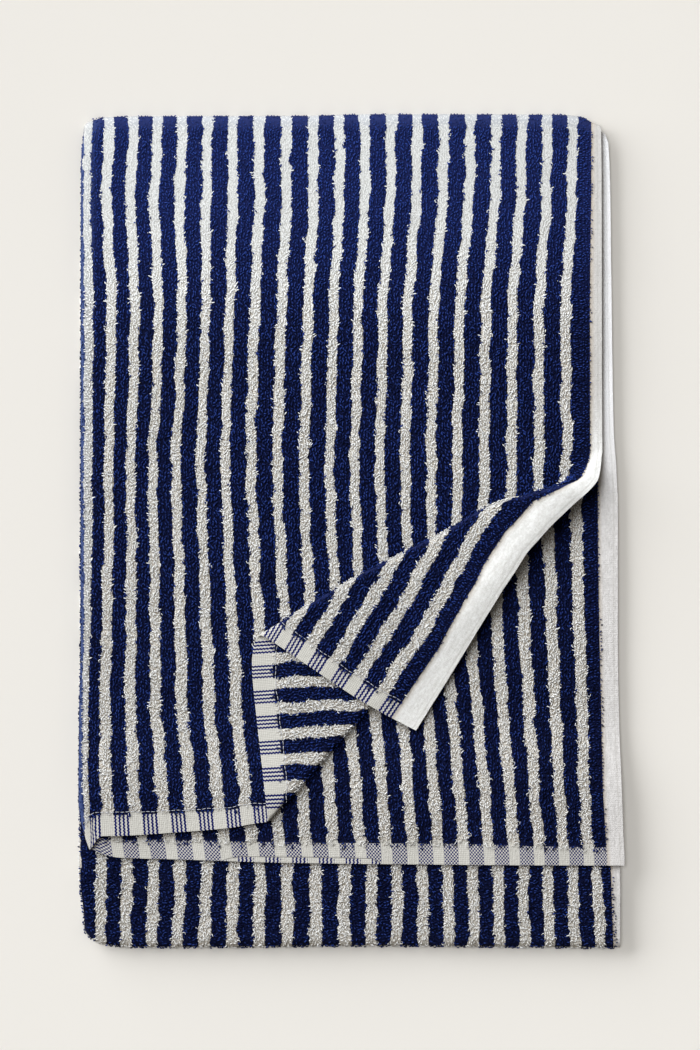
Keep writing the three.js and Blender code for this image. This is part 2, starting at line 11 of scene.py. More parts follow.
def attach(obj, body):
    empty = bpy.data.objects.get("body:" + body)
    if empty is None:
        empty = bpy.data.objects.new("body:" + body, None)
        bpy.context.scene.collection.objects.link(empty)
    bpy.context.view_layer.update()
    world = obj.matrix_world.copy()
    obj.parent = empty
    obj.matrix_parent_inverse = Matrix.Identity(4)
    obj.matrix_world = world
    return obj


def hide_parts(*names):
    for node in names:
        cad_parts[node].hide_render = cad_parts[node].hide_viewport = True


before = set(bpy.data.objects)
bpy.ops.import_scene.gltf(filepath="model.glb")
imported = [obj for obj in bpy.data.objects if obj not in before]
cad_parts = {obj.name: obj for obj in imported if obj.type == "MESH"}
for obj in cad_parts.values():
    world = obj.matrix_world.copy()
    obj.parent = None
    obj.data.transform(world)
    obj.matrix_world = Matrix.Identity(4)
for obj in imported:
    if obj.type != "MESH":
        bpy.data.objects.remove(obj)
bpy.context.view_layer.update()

MM = 0.001
SEED = 11
rng = np.random.default_rng(SEED)

# Sizes are in millimetres. Plan coordinates have +X to the right and +Y away, as seen from
# above. PX is the size of one photograph pixel, and the plan's zero lies at pixel
# (ZERO_PX, ZERO_PY).
PX = 0.95
ZERO_PX = 352.0
ZERO_PY = 530.5

CLOTH_WIDTH = 1000.0
CLOTH_LENGTH = 1650.0
CAD_THICKNESS = 3.0
GROUND_THICKNESS = 1.5
HALF_STEP = 2.0
PACK_STEP = 8.0
LOWEST_PACK = 3.5

TOP_TURN_Y = 389.0
BOTTOM_TURN_Y = -389.0
TURN_RADIUS = 4.0
HEM_AT_FOLD_Y = -302.5
TOP_PANEL = 707.0
MIDDLE_PANEL = TOP_TURN_Y - BOTTOM_TURN_Y
TURN_LENGTH = math.pi * TURN_RADIUS
MIDDLE_START = TOP_PANEL + TURN_LENGTH
MIDDLE_END = MIDDLE_START + MIDDLE_PANEL
TAIL_START = MIDDLE_END + TURN_LENGTH
ROUND_LENGTH = math.pi * HALF_STEP / 2
FOLD_FULLNESS = 1.8
STEP_TOP_Y = -248.0
STEP_FOOT_Y = -176.0
TAIL_RUN_IN = 40.0

# Rise and fall of the layers over the stack, as shares of their height
WAVES = (
    {"share": 0.045, "along_x": 1 / 95, "along_y": 0.0, "turn": 0.6},
    {"share": 0.03, "along_x": 0.0, "along_y": 1 / 62, "turn": 1.1},
    {"share": 0.03, "along_x": 1 / 74, "along_y": 1 / 81, "turn": 1.9},
)
# Shallow relief of the soft cloth, as shares too
RELIEF = (
    {"share": 0.045, "along_x": 1 / 36, "along_y": 1 / 300, "turn": 3.97},
    {"share": 0.022, "along_x": 1 / 21, "along_y": -1 / 47, "turn": 0.7},
    {"share": 0.018, "along_x": 1 / 29, "along_y": 1 / 17, "turn": 2.2},
    {"share": 0.010, "along_x": -1 / 13, "along_y": 1 / 12, "turn": 4.0},
)
PUFF_HEIGHT = 1.6
PUFF_LEFT_X = -256.0
PUFF_INSET = 45.0
SWELL = {"along_x": 1 / 58, "along_y": 1 / 83, "turn": 1.0}


def table(columns, *rows):
    """Columns of a table by name, as arrays."""
    values = np.array(rows, float)
    return {name: values[:, i] for i, name in enumerate(columns)}


TOP_EDGES = table(
    ("y", "left", "upper", "lower"),
    (-308, -246, 277.5, 258.5),
    (-288, -253, 276, 257.5),
    (-256, -258.5, 274.5, 256.5),
    (-173, -258, 270, 253.5),
    (-100, -256.5, 264, 252.5),
    (-47, -256.5, 250, 252.5),
    (-14, -256.5, 243.5, 252.5),
    (15, -256.5, 240, 252.5),
    (60, -256.5, 238, 251),
    (95, -256.5, 237.5, 248.5),
    (219, -256.5, 237.2, 246.5),
    (366, -256, 236.8, 244.5),
    (397, -252.5, 236.5, 243),
)
MIDDLE_EDGES = table(
    ("y", "left", "upper", "lower"),
    (-397, -252, 241, 254.5),
    (-330, -257, 243, 254.5),
    (-250, -256.5, 244, 252.5),
    (0, -256, 241, 248),
    (219, -255.5, 238, 243),
    (397, -252.5, 236.5, 239),
)
TAIL_EDGES = {"left": -253.0, "upper": 238.0, "lower": 251.0}
HEM_LINE = table(
    ("from", "y"),
    (-520, -318), (-400, -317.5), (-200, -315.5), (-80, -312), (-30, -310.5), (-19, -309),
    (-10, -306), (-4, -303.2), (0, HEM_AT_FOLD_Y), (4, -299.5), (8, -292.5), (13, -289.8),
    (19, -289.8), (32, -289.5), (81, -286.5), (130, -282.5), (171, -276.5), (302, -275),
    (334, -272), (357, -262), (449, -261), (492, -258), (540, -252),
)
FREE_EDGE_FROM = 480.0
# Depth of the plain woven hem by distance from the left fold
HEM_DEPTH = table(
    ("from", "deep"),
    (-520, 19.5), (-440, 20.5), (-350, 22.5), (-200, 22), (-80, 21), (-10, 19), (0, 20),
    (10, 22.5), (90, 20.5), (180, 18), (220, 22), (330, 21.5), (430, 18), (540, 18),
)
# How far up the lower layer's hem another turn of it shows, by distance from the left fold
LIP_SHOWN = table(
    ("from", "deep"),
    (-520, 0), (-278, 0), (-272, 5), (-210, 5.5), (-145, 4.5), (-122, 0), (520, 0),
)
TOP_FALL_BACK = table(
    ("x", "by"),
    (-258, 17), (-252, 9), (-240, 4), (-211, 2.5), (-50, 2), (20, 0.5), (198, 1), (217, 3),
    (228, 8.5), (238, 12.5), (245, 24),
)
BOTTOM_FALL_BACK = table(
    ("x", "by"),
    (-258, 22), (-250, 11), (-238, 4), (-215, 1), (-150, 0.5), (0, 2), (150, 1), (255, 0),
)
FALL_BACK_REACH = 75.0
FRAME_STEP = 0.05

PLEAT_X = 270.75
PLEAT_Y = 121.0
FIRST_FOLD_ANGLE = math.radians(48.6)
PLEAT = table(
    ("out", "second", "turn", "first_round", "second_round", "crest", "rest"),
    (57, 57, 0, 4, 4, 0, 0),
    (75, 55, 4, 4, 4, 6, 4),
    (90, 52.3, 9.3, 3.2, 4, 14, 8),
    (107, 46.3, 15.3, 2.5, 4, 20, 8),
    (125, 41.5, 20.5, 2, 3.8, 20, 7),
    (142, 38.4, 24.6, 2, 3.5, 18, 6),
    (160, 35.4, 27.9, 2, 3.2, 16, 5),
    (180, 34.1, 31, 2, 3, 14, 4),
    (222, 33.4, 34.2, 2, 2.5, 12, 2.5),
    (270, 32.2, 34.6, 2, 2.2, 11, 1.5),
    (330, 31.5, 34.6, 2, 2, 10, 1),
    (560, 31.4, 34.6, 2, 2, 9.2, 1.5),
)
PLEAT_START = 57.0
PLEAT_RUN_IN = 25.0
FLAP_FALL = 42.0
FLAP_LEDGE = 8.0
FLAP_FAR_ANGLE = math.radians(104)
FLAP_BEND = 7.0
LEAST_FALL = 1e-4
TINY = 1e-9
OPEN_CREST = 12.0
STRAIGHT_ABOVE_Y = 57.0

# Where the stripes lie, in photograph pixels: a row per height, a column per stripe, headed by
# its number from the left fold. The upper half is given as it lay before the pleat.
STRIPE_PITCH = 24.05
STRIPE_HALF = 0.29
STRIPE_SHIFT = 1.3
FOLD_NUMBER = 1.27
DRIFT_FROM, DRIFT_TO = 60, 420
LAST_STRIPE_EDGE = 20.26
BAND_EDGE = 21.35
UPPER_STRIPES = table(
    ("y", 0.12, 1, 4, 7, 10, 13, 16, 20, LAST_STRIPE_EDGE, BAND_EDGE),
    (113, 81, 97.5, 171, 245.5, 326, 404, 484, 584.5, 592, 603),
    (200, 81, 94.5, 166, 246, 327, 403, 482, 584.5, 592, 603),
    (300, 81, 100, 170.5, 242, 321.5, 395, 472.5, 578.5, 591, 603),
    (400, 81, 98.5, 168, 238.5, 319, 394, 471, 579, 591, 603),
    (450, 81, 98, 163.5, 237.5, 317.5, 391, 470, 581, 591, 603),
    (490, 81, 98, 164, 238.5, 317, 393, 470, 579, 588, 603),
    (535, 81, 98, 165, 241, 319, 394, 469, 572.5, 580, 607),
    (580, 82, 96, 167, 242, 322, 397, 470, 579, 588, 615),
    (640, 81.5, 94.5, 167, 247, 327, 403, 478, 596, 604, 630),
    (715, 80.5, 92, 169, 250, 335, 411, 486, 604, 612, 636),
    (790, 81, 92.5, 176, 258.5, 341, 418, 492, 605, 613.5, 641),
    (836, 84, 94, 180.5, 263, 344, 421, 495, 605, 615, 644),
)
LOWER_STRIPES = table(
    ("y", 0.88, 1, 4, 7, 10, 13, 16, 20, LAST_STRIPE_EDGE, BAND_EDGE),
    (113, 82, 90, 166, 243, 320, 398, 477, 585, 593, 607),
    (300, 82, 90, 166, 243, 320, 398, 476, 587, 596, 611.5),
    (450, 82, 91, 167, 244, 322, 400, 478, 590, 599, 615),
    (550, 82, 92, 168, 245, 323, 402, 479, 590.5, 599, 618),
    (640, 82, 93, 170, 248, 328, 408, 484, 593, 601, 618),
    (715, 81, 93, 172, 253, 335, 415, 489.5, 595, 603, 619),
    (790, 82, 95, 177, 259, 343, 421, 497, 596, 604, 622),
    (858, 95, 106, 186, 268, 348, 426, 502, 601, 608.5, 624),
)
BAND_STRIPES = table(
    ("y", -0.27, 0, 1, 4, 7, 10, 13, 16, 20, LAST_STRIPE_EDGE, BAND_EDGE),
    (870, 81, 88.6, 113.6, 194, 273, 358.5, 435, 511, 608, 613, 620),
    (905, 81, 88.5, 113.5, 192, 273, 358.5, 435.5, 511, 610.5, 615, 620),
    (940, 82, 89, 113.5, 190, 273, 358, 436, 511.5, 613, 617, 620),
)


def ease(value, start, end):
    share = np.clip((value - start) / (end - start), 0, 1)
    return share * share * (3 - 2 * share)


def read(rows, column, at):
    """A column of a table read at values of its first one, by a cubic that goes through the
    rows and never overshoots them."""
    xs, ys = next(iter(rows.values())), rows[column]
    run = np.diff(xs)
    rise = np.diff(ys) / run
    before, after = rise[:-1], rise[1:]
    same_way = before * after > 0
    slope = np.empty_like(ys)
    slope[0], slope[-1] = rise[0], rise[-1]
    total = np.where(same_way, before + after, 1)
    slope[1:-1] = np.where(same_way, 2 * before * after / total, 0)
    at = np.clip(at, xs[0], xs[-1])
    i = np.clip(np.searchsorted(xs, at, side="right") - 1, 0, len(run) - 1)
    t = (at - xs[i]) / run[i]
    square, cube = t * t, t * t * t
    return (
        ys[i] * (2 * cube - 3 * square + 1)
        + slope[i] * run[i] * (cube - 2 * square + t)
        + ys[i + 1] * (3 * square - 2 * cube)
        + slope[i + 1] * run[i] * (cube - square)
    )


def pleat_pieces(out):
    """The pleat's section at each distance from its point, as lines and arcs."""
    value = {name: read(PLEAT, name, out) for name in PLEAT if name != "out"}
    crest, rest = value["crest"], value["rest"]
    turn, second = np.radians(value["turn"]), np.radians(value["second"])
    first_round, second_round = value["first_round"], value["second_round"]
    opened = ease(crest, 0, OPEN_CREST)
    skin = CAD_THICKNESS / 2
    first_q = out * FIRST_FOLD_ANGLE - opened * (first_round + skin)
    second_q = out * second + opened * (second_round + skin)
    run = second_q - first_q
    rounds = first_round + second_round
    straight = np.sqrt(np.maximum(0, run * run + crest * crest - 2 * crest * rounds))
    bend = np.arctan2(crest - rounds, run) + np.arctan2(rounds, straight)
    start_q = out * FIRST_FOLD_ANGLE - PLEAT_RUN_IN
    far_q = out * (FLAP_FAR_ANGLE - turn)
    ledge_q = np.maximum(first_q + first_round, second_q) + FLAP_LEDGE
    rest_q = ledge_q + FLAP_FALL
    end_q = np.maximum(far_q, rest_q + FLAP_BEND)
    fall = np.maximum(np.arctan2(crest - rest, rest_q - ledge_q), LEAST_FALL)
    radius = FLAP_BEND / np.tan(fall / 2)
    zero = np.zeros_like(out)
    quarter = math.pi / 2

    def line(q0, z0, q1, z1):
        return ("line", q0, z0, q1, z1, np.hypot(q1 - q0, z1 - z0))

    def arc(q, z, r, start, sweep):
        return ("arc", q, z, r, (start, sweep), np.abs(sweep) * r)

    rise_q = first_q + first_round * np.sin(bend)
    rise_z = first_round - first_round * np.cos(bend)
    top_q = second_q - second_round * np.sin(bend)
    top_z = crest - second_round + second_round * np.cos(bend)
    one_q = ledge_q - FLAP_BEND
    one_end_q = one_q + radius * np.sin(fall)
    one_end_z = crest - radius + radius * np.cos(fall)
    two_q = rest_q - FLAP_BEND * np.cos(fall)
    two_z = rest + FLAP_BEND * np.sin(fall)
    two_centre_q = two_q + radius * np.sin(fall)
    two_centre_z = two_z + radius * np.cos(fall)
    pieces = [
        line(start_q, zero, first_q, zero),
        arc(first_q, first_round, first_round, -quarter + zero, bend),
        line(rise_q, rise_z, top_q, top_z),
        arc(second_q, crest - second_round, second_round, bend + quarter, -bend),
        line(second_q, crest, one_q, crest),
        arc(one_q, crest - radius, radius, quarter + zero, -fall),
        line(one_end_q, one_end_z, two_q, two_z),
        arc(two_centre_q, two_centre_z, radius, -fall - quarter, fall),
        line(two_centre_q, rest, end_q, rest),
    ]
    lengths = np.array([piece[5] for piece in pieces])
    first_mark = lengths[0] + lengths[1] / 2
    second_mark = lengths[0] + lengths[1] + lengths[2] + lengths[3] / 2
    return pieces, first_mark, second_mark, lengths.sum(0)


def second_fold_angle(out):
    return np.radians(read(PLEAT, "second", out) + read(PLEAT, "turn", out))


def pleated(x, y):
    """Where the pleat takes points of the flat upper half: x, y and lift."""
    x, y = np.array(x, float), np.array(y, float)
    lift = np.zeros_like(x)
    out = np.hypot(x - PLEAT_X, y - PLEAT_Y)
    angle = np.arctan2(PLEAT_Y - y, PLEAT_X - x)
    run_in = PLEAT_RUN_IN / np.maximum(out, TINY)
    inside = (out >= PLEAT_START) & (angle >= FIRST_FOLD_ANGLE - run_in)
    if not inside.any():
        return x, y, lift
    out, angle, run_in = out[inside], angle[inside], run_in[inside]
    pieces, first_mark, second_mark, total = pleat_pieces(out)
    second_angle = second_fold_angle(out)
    before = first_mark * (angle - FIRST_FOLD_ANGLE + run_in) / run_in
    room = np.maximum(second_angle - FIRST_FOLD_ANGLE, TINY)
    between = first_mark + (second_mark - first_mark) * (angle - FIRST_FOLD_ANGLE) / room
    room = FLAP_FAR_ANGLE - second_angle
    beyond = second_mark + (total - second_mark) * (angle - second_angle) / room
    length = np.where(angle < second_angle, between, beyond)
    length = np.where(angle < FIRST_FOLD_ANGLE, before, length)
    q, z = np.zeros_like(out), np.zeros_like(out)
    done = np.zeros(out.shape, bool)
    for i, (kind, a, b, c, d, size) in enumerate(pieces):
        last = i == len(pieces) - 1
        here = ~done & ((length <= size) | last)
        share = length / np.maximum(size, TINY)
        if kind == "line":
            here_q, here_z = a + (c - a) * share, b + (d - b) * share
        else:
            start, sweep = d
            here_q = a + c * np.cos(start + sweep * share)
            here_z = b + c * np.sin(start + sweep * share)
        q, z = np.where(here, here_q, q), np.where(here, here_z, z)
        done |= here
        length = length - size
    turned = q / out
    x[inside] = PLEAT_X - out * np.cos(turned)
    y[inside] = PLEAT_Y - out * np.sin(turned)
    lift[inside] = z
    return x, y, lift


def climb(y):
    return PACK_STEP * (1 - ease(y, STEP_TOP_Y, STEP_FOOT_Y))


def left_edge(edges, y):
    return read(edges, "left", y) + CAD_THICKNESS / 2 - FOLD_FULLNESS


def up_panel(hem, share):
    """Plan y of a share of the way up the top panel from a hem."""
    return hem + share * (TOP_TURN_Y - hem)


def on_top_panel(out_from, along):
    """Flat x of the left fold, with flat y and distance from the hem, before the pleat."""
    share = np.clip(along / TOP_PANEL, 0, 1)
    hem = read(HEM_LINE, "y", out_from)
    left = left_edge(TOP_EDGES, up_panel(HEM_AT_FOLD_Y, share))
    return left, up_panel(hem, share), share * (TOP_TURN_Y - hem)


def turned_over(edges, fold_y, around, radius, side):
    """Points of the cloth where it turns down under a fold that runs across it."""
    y = fold_y + math.copysign(1, fold_y) * radius * np.sin(around)
    z = LOWEST_PACK + TURN_RADIUS + radius * np.cos(around)
    return left_edge(edges, fold_y) + side, y, z


def cloth_points(out_from, along):
    """Points of the cloth's middle surface. out_from is the distance from the left fold,
    minus on the lower half; along is the distance from the hem that lies on top."""
    distance = np.abs(out_from)
    rounded = distance < ROUND_LENGTH
    angle = np.where(rounded, out_from / HALF_STEP, 0)
    side = HALF_STEP + distance - ROUND_LENGTH
    side = np.where(rounded, HALF_STEP * (1 - np.cos(angle)), side)
    off = np.where(rounded, HALF_STEP * np.sin(angle), np.sign(out_from) * HALF_STEP)

    def top_panel(out_from, along, side, off):
        left, y, _ = on_top_panel(out_from, along)
        upper = out_from > 0
        moved_x, moved_y, lift = pleated(left + side, y)
        x, y = np.where(upper, moved_x, left + side), np.where(upper, moved_y, y)
        return x, y, LOWEST_PACK + PACK_STEP + climb(y) + off + np.where(upper, lift, 0)

    def top_turn(_, along, side, off):
        around = (along - TOP_PANEL) / TURN_RADIUS
        return turned_over(TOP_EDGES, TOP_TURN_Y, around, TURN_RADIUS + off, side)

    def middle_panel(_, along, side, off):
        y = TOP_TURN_Y - (along - MIDDLE_START)
        return left_edge(MIDDLE_EDGES, y) + side, y, LOWEST_PACK + climb(y) - off

    def bottom_turn(_, along, side, off):
        around = (along - MIDDLE_END) / TURN_RADIUS
        return turned_over(MIDDLE_EDGES, BOTTOM_TURN_Y, around, TURN_RADIUS - off, side)

    def tail(_, along, side, off):
        y = BOTTOM_TURN_Y + (along - TAIL_START)
        share = ease(y, BOTTOM_TURN_Y, BOTTOM_TURN_Y + TAIL_RUN_IN)
        left = left_edge(MIDDLE_EDGES, BOTTOM_TURN_Y)
        x = left + (TAIL_EDGES["left"] + CAD_THICKNESS / 2 - left) * share + side
        return x, y, LOWEST_PACK + off

    points = np.zeros(out_from.shape + (3,))
    for make, here in (
        (top_panel, along <= TOP_PANEL),
        (top_turn, (along > TOP_PANEL) & (along < MIDDLE_START)),
        (middle_panel, (along >= MIDDLE_START) & (along <= MIDDLE_END)),
        (bottom_turn, (along > MIDDLE_END) & (along < TAIL_START)),
        (tail, along >= TAIL_START),
    ):
        if here.any():
            made = make(out_from[here], along[here], side[here], off[here])
            points[here] = np.stack(made, -1)
    return points


def width_at(edges, half, y):
    return read(edges, half, y) - left_edge(edges, y)


def free_edge(along, half):
    """Distance from the left fold to the free edge of one half."""
    along = np.asarray(along, float)
    share = np.clip(along / TOP_PANEL, 0, 1)
    hem_from = FREE_EDGE_FROM if half == "upper" else -FREE_EDGE_FROM
    y = up_panel(read(HEM_LINE, "y", hem_from), share)
    top = read(TOP_EDGES, half, y)
    top = top - left_edge(TOP_EDGES, up_panel(HEM_AT_FOLD_Y, share))

    start = width_at(TOP_EDGES, half, TOP_TURN_Y)
    y = np.minimum(TOP_TURN_Y, TOP_TURN_Y - (along - MIDDLE_START))
    turned = np.clip((along - TOP_PANEL) / TURN_LENGTH, 0, 1)
    middle = start + (width_at(MIDDLE_EDGES, half, y) - start) * turned

    start = width_at(MIDDLE_EDGES, half, BOTTOM_TURN_Y)
    turned = np.clip((along - MIDDLE_END) / TURN_LENGTH, 0, 1)
    gone = turned * ease(along, MIDDLE_END, TAIL_START + TAIL_RUN_IN)
    tail = start + (TAIL_EDGES[half] - TAIL_EDGES["left"] - start) * gone

    width = np.where(along <= TOP_PANEL, top, np.where(along <= MIDDLE_END, middle, tail))
    return width - HALF_STEP + ROUND_LENGTH


def edge_at(out_from, along):
    """Distance from the left fold to the free edge of the half that out_from is on."""
    return np.where(out_from > 0, free_edge(along, "upper"), free_edge(along, "lower"))


def settled(points, upper_top):
    """The neatly stacked layers brought to their uneven rest."""
    x, y, z = points[..., 0], points[..., 1], points[..., 2]
    near_top = ease(y, TOP_TURN_Y - FALL_BACK_REACH, TOP_TURN_Y)
    near_bottom = ease(-y, -BOTTOM_TURN_Y - FALL_BACK_REACH, -BOTTOM_TURN_Y)
    at = y
    y = y - read(TOP_FALL_BACK, "by", x) * near_top
    y = y + read(BOTTOM_FALL_BACK, "by", x) * near_bottom
    share = 1 + sum(
        wave["share"] * np.sin(x * wave["along_x"] + at * wave["along_y"] + wave["turn"])
        for wave in WAVES + RELIEF
    )
    inset = ease(x, PUFF_LEFT_X, PUFF_LEFT_X + PUFF_INSET)
    inset = inset * (1 - ease(y, TOP_TURN_Y - PUFF_INSET, TOP_TURN_Y))
    swell = np.sin(x * SWELL["along_x"] + SWELL["turn"]) * np.cos(y * SWELL["along_y"])
    puff = np.where(upper_top, PUFF_HEIGHT * inset * (1 + swell) / 2, 0)
    return np.stack([x, y, z * share + puff], -1)


def cloth_frame(out_from, along):
    """Middle points with the directions across, along and out of the cloth's upper face."""
    step = FRAME_STEP
    middle = cloth_points(out_from, along)
    across = cloth_points(out_from + step, along) - cloth_points(out_from - step, along)
    down = cloth_points(out_from, along + step) - cloth_points(out_from, along - step)
    across /= np.linalg.norm(across, axis=-1, keepdims=True)
    out = np.cross(across, down)
    out /= np.linalg.norm(out, axis=-1, keepdims=True)
    down = np.cross(out, across)
    return middle, across, down, out


def cloth_at(out_from, along, height, side=1):
    """Points at a height over the cloth's middle surface on one of its sides, in the settled
    stack, with the directions across, along and out of the cloth there."""
    middle, across, down, out = cloth_frame(out_from, along)
    out = out * np.asarray(side)[..., None]
    upper_top = (out_from > ROUND_LENGTH) & (along < TOP_PANEL)
    return settled(middle + out * height, upper_top), across, down, out


def stripe_at(rows, x, y):
    """Stripe number at plan point (x, y), from a table of stripe places in pixels."""
    x, y = x / PX + ZERO_PX - STRIPE_SHIFT, ZERO_PY - y / PX
    numbers = np.array([number for number in rows if number != "y"])
    places = np.stack([np.interp(y, rows["y"], rows[number]) for number in numbers], -1)
    i = np.clip((places[..., 1:-1] < x[..., None]).sum(-1), 0, len(numbers) - 2)
    low = np.take_along_axis(places, i[..., None], -1)[..., 0]
    high = np.take_along_axis(places, i[..., None] + 1, -1)[..., 0]
    return numbers[i] + (numbers[i + 1] - numbers[i]) * (x - low) / (high - low)


def stripe_number(out_from, along):
    """Stripe number across the whole cloth: whole at the middle of each dark stripe."""
    on_top = along < MIDDLE_START
    left, y, _ = on_top_panel(out_from, np.minimum(along, TOP_PANEL))
    x = left + np.abs(out_from)
    upper, lower = stripe_at(UPPER_STRIPES, x, y), 1 - stripe_at(LOWER_STRIPES, x, y)
    top = np.where(out_from > 0, upper, lower)

    y = np.clip(TOP_TURN_Y - (along - MIDDLE_START), BOTTOM_TURN_Y, TOP_TURN_Y)
    lower = 1 - stripe_at(BAND_STRIPES, left_edge(MIDDLE_EDGES, y) + np.abs(out_from), y)
    upper = FOLD_NUMBER + out_from / STRIPE_PITCH
    middle = np.where(out_from > 0, upper, lower)

    turned = ease(along, MIDDLE_START + DRIFT_FROM, MIDDLE_START + DRIFT_TO)
    return np.where(on_top, top, top + (middle - top) * turned)


# How the pile's stripes stray from the woven ones: side to side, and in width, as shares
# of a stripe's pitch, with the length of each wave in millimetres.
WANDERS = (
    {"stray": 0.019, "swell": 0.006, "along": 83.0, "across": 140.0, "turn": 0.3},
    {"stray": 0.017, "swell": 0.008, "along": 57.0, "across": -71.0, "turn": 2.1},
    {"stray": 0.015, "swell": 0.010, "along": 38.0, "across": 53.0, "turn": 4.4},
    {"stray": 0.014, "swell": 0.013, "along": -23.0, "across": 37.0, "turn": 1.2},
    {"stray": 0.013, "swell": 0.013, "along": 14.0, "across": 29.0, "turn": 5.3},
)
BEND = {"by": 1.3, "along": 97, "across": 61}
SWELL_RATE = 1.37
# The dark stripes are a little wider over the middle of the top panel's upper half
WIDER = {"by": 0.025, "across": (20, 120), "along": (150, 320)}
FAR_HEM_DEPTH = 20.0


def wander(out_from, along):
    """Stray and swell of the pile's stripes at a point of the cloth."""
    stray, swell = np.zeros_like(out_from), np.zeros_like(out_from)
    for wave in WANDERS:
        phase = 2 * math.pi * (along / wave["along"] + out_from / wave["across"]) + wave["turn"]
        bent = np.sin(along / BEND["along"] + out_from / BEND["across"] + wave["turn"])
        bent = BEND["by"] * bent
        stray = stray + wave["stray"] * np.sin(phase + bent)
        swell = swell + wave["swell"] * np.cos(SWELL_RATE * phase - bent)
    wider = ease(out_from, *WIDER["across"]) * ease(along, *WIDER["along"]) * (along < TOP_PANEL)
    return stray, swell + WIDER["by"] * wider


def hem_distance(out_from, along):
    """Distance from the nearer hem's edge, and the depth of the hem there."""
    _, _, from_hem = on_top_panel(out_from, along)
    far = CLOTH_LENGTH - along
    deep = read(HEM_DEPTH, "deep", out_from)
    top = along <= TOP_PANEL
    return np.where(top, from_hem, np.maximum(far, 0)), np.where(top, deep, FAR_HEM_DEPTH)


# Columns beside each fold of the pleat, as shares of its reach, and the greatest share of the
# room beside it that they take
CREASE_STEPS = np.array([-2.4, -1, -0.67, -0.33, 0, 0.33, 0.67, 1, 2.4])
CREASE_SHARE = 0.4
COLUMNS_LEFT = 32
COLUMNS_BETWEEN = 10
COLUMNS_RIGHT = 16
LOWER_COLUMNS = 52
FOLD_COLUMNS = 8
# Distances of the last columns and rows from the cloth's edges
RIM_STEPS = np.array([1.4, 0.35])
FIRST_ROW = 3.5
ROWS_FROM_Y = -290.0
SOLVE_STEPS = 30


def crease_x(angle_at, y):
    """Flat x of a fold of the pleat, in rows whose height is y."""
    height = PLEAT_Y - np.minimum(y, STRAIGHT_ABOVE_Y)
    out = height
    for _ in range(SOLVE_STEPS):
        out = height / np.sin(angle_at(out))
    return PLEAT_X - out * np.cos(angle_at(out))


def mesh_columns(rows):
    """Distances from the left fold of each row's columns, kept to the pleat's folds."""
    edge = free_edge(rows, "upper")
    lower_edge = free_edge(rows, "lower")
    share = np.minimum(rows, TOP_PANEL) / TOP_PANEL
    left = left_edge(TOP_EDGES, up_panel(HEM_AT_FOLD_Y, share)) + HALF_STEP - ROUND_LENGTH

    def row_y(out_from):
        return up_panel(read(HEM_LINE, "y", out_from), share)

    def locate(angle_at):
        out_from = edge / 2
        for _ in range(SOLVE_STEPS):
            out_from = out_from + (crease_x(angle_at, row_y(out_from)) - left - out_from) / 2
        return out_from

    first = locate(lambda out: np.full_like(out, FIRST_FOLD_ANGLE))
    second = locate(second_fold_angle)
    roll = np.hypot(left + second - PLEAT_X, row_y(second) - PLEAT_Y)
    second_round = read(PLEAT, "second_round", roll)
    first_reach = np.full_like(rows, math.pi / math.sin(FIRST_FOLD_ANGLE))
    second_reach = math.pi * np.maximum(1, second_round / 2) / np.sin(second_fold_angle(roll))

    def near(fold, reach, left_room, right_room):
        room = np.where(CREASE_STEPS < 0, left_room[:, None], right_room[:, None])
        fitting = np.minimum(reach[:, None], room * CREASE_SHARE / CREASE_STEPS[-1])
        return fold[:, None] + CREASE_STEPS * fitting

    def spread(start, end, count):
        return start[:, None] + (end - start)[:, None] * np.arange(1, count + 1) / (count + 1)

    at_first = near(first, first_reach, first, second - first)
    at_second = near(second, second_reach, second - first, edge - second)
    fold_side = np.full_like(rows, ROUND_LENGTH)
    fold = ROUND_LENGTH * (2 * np.arange(FOLD_COLUMNS + 1) / FOLD_COLUMNS - 1)
    columns = np.concatenate(
        [
            -lower_edge[:, None],
            -(lower_edge[:, None] - RIM_STEPS)[:, ::-1],
            -spread(fold_side, lower_edge - RIM_STEPS[0], LOWER_COLUMNS)[:, ::-1],
            np.repeat(fold[None], len(rows), 0),
            spread(fold_side, at_first[:, 0], COLUMNS_LEFT),
            at_first,
            spread(at_first[:, -1], at_second[:, 0], COLUMNS_BETWEEN),
            at_second,
            spread(at_second[:, -1], edge - RIM_STEPS[0], COLUMNS_RIGHT),
            edge[:, None] - RIM_STEPS,
            edge[:, None],
        ],
        1,
    )
    return columns, second


def mesh_rows():
    """Distances from the top hem of the mesh's rows, closest at the folds and the pleat."""

    def from_y(y):
        return TOP_PANEL * (y - ROWS_FROM_Y) / (TOP_TURN_Y - ROWS_FROM_Y)

    # Where each span of rows starts, and how far apart its rows are
    spans = (
        (FIRST_ROW, 5.5),
        (from_y(-60), 4),
        (from_y(100), 9),
        (from_y(360), 5),
        (TOP_PANEL, 1.4),
        (MIDDLE_START, 8),
        (MIDDLE_START + 40, 24),
        (MIDDLE_START + TOP_TURN_Y - ROWS_FROM_Y, 5),
        (MIDDLE_END, 1.4),
        (TAIL_START, 12),
        (CLOTH_LENGTH, None),
    )
    rows = [0, *RIM_STEPS[::-1]]
    for (start, every), (end, _) in zip(spans, spans[1:]):
        count = max(1, round((end - start) / every))
        rows += list(start + (end - start) * np.arange(count) / count)
    return np.array(rows + [CLOTH_LENGTH])


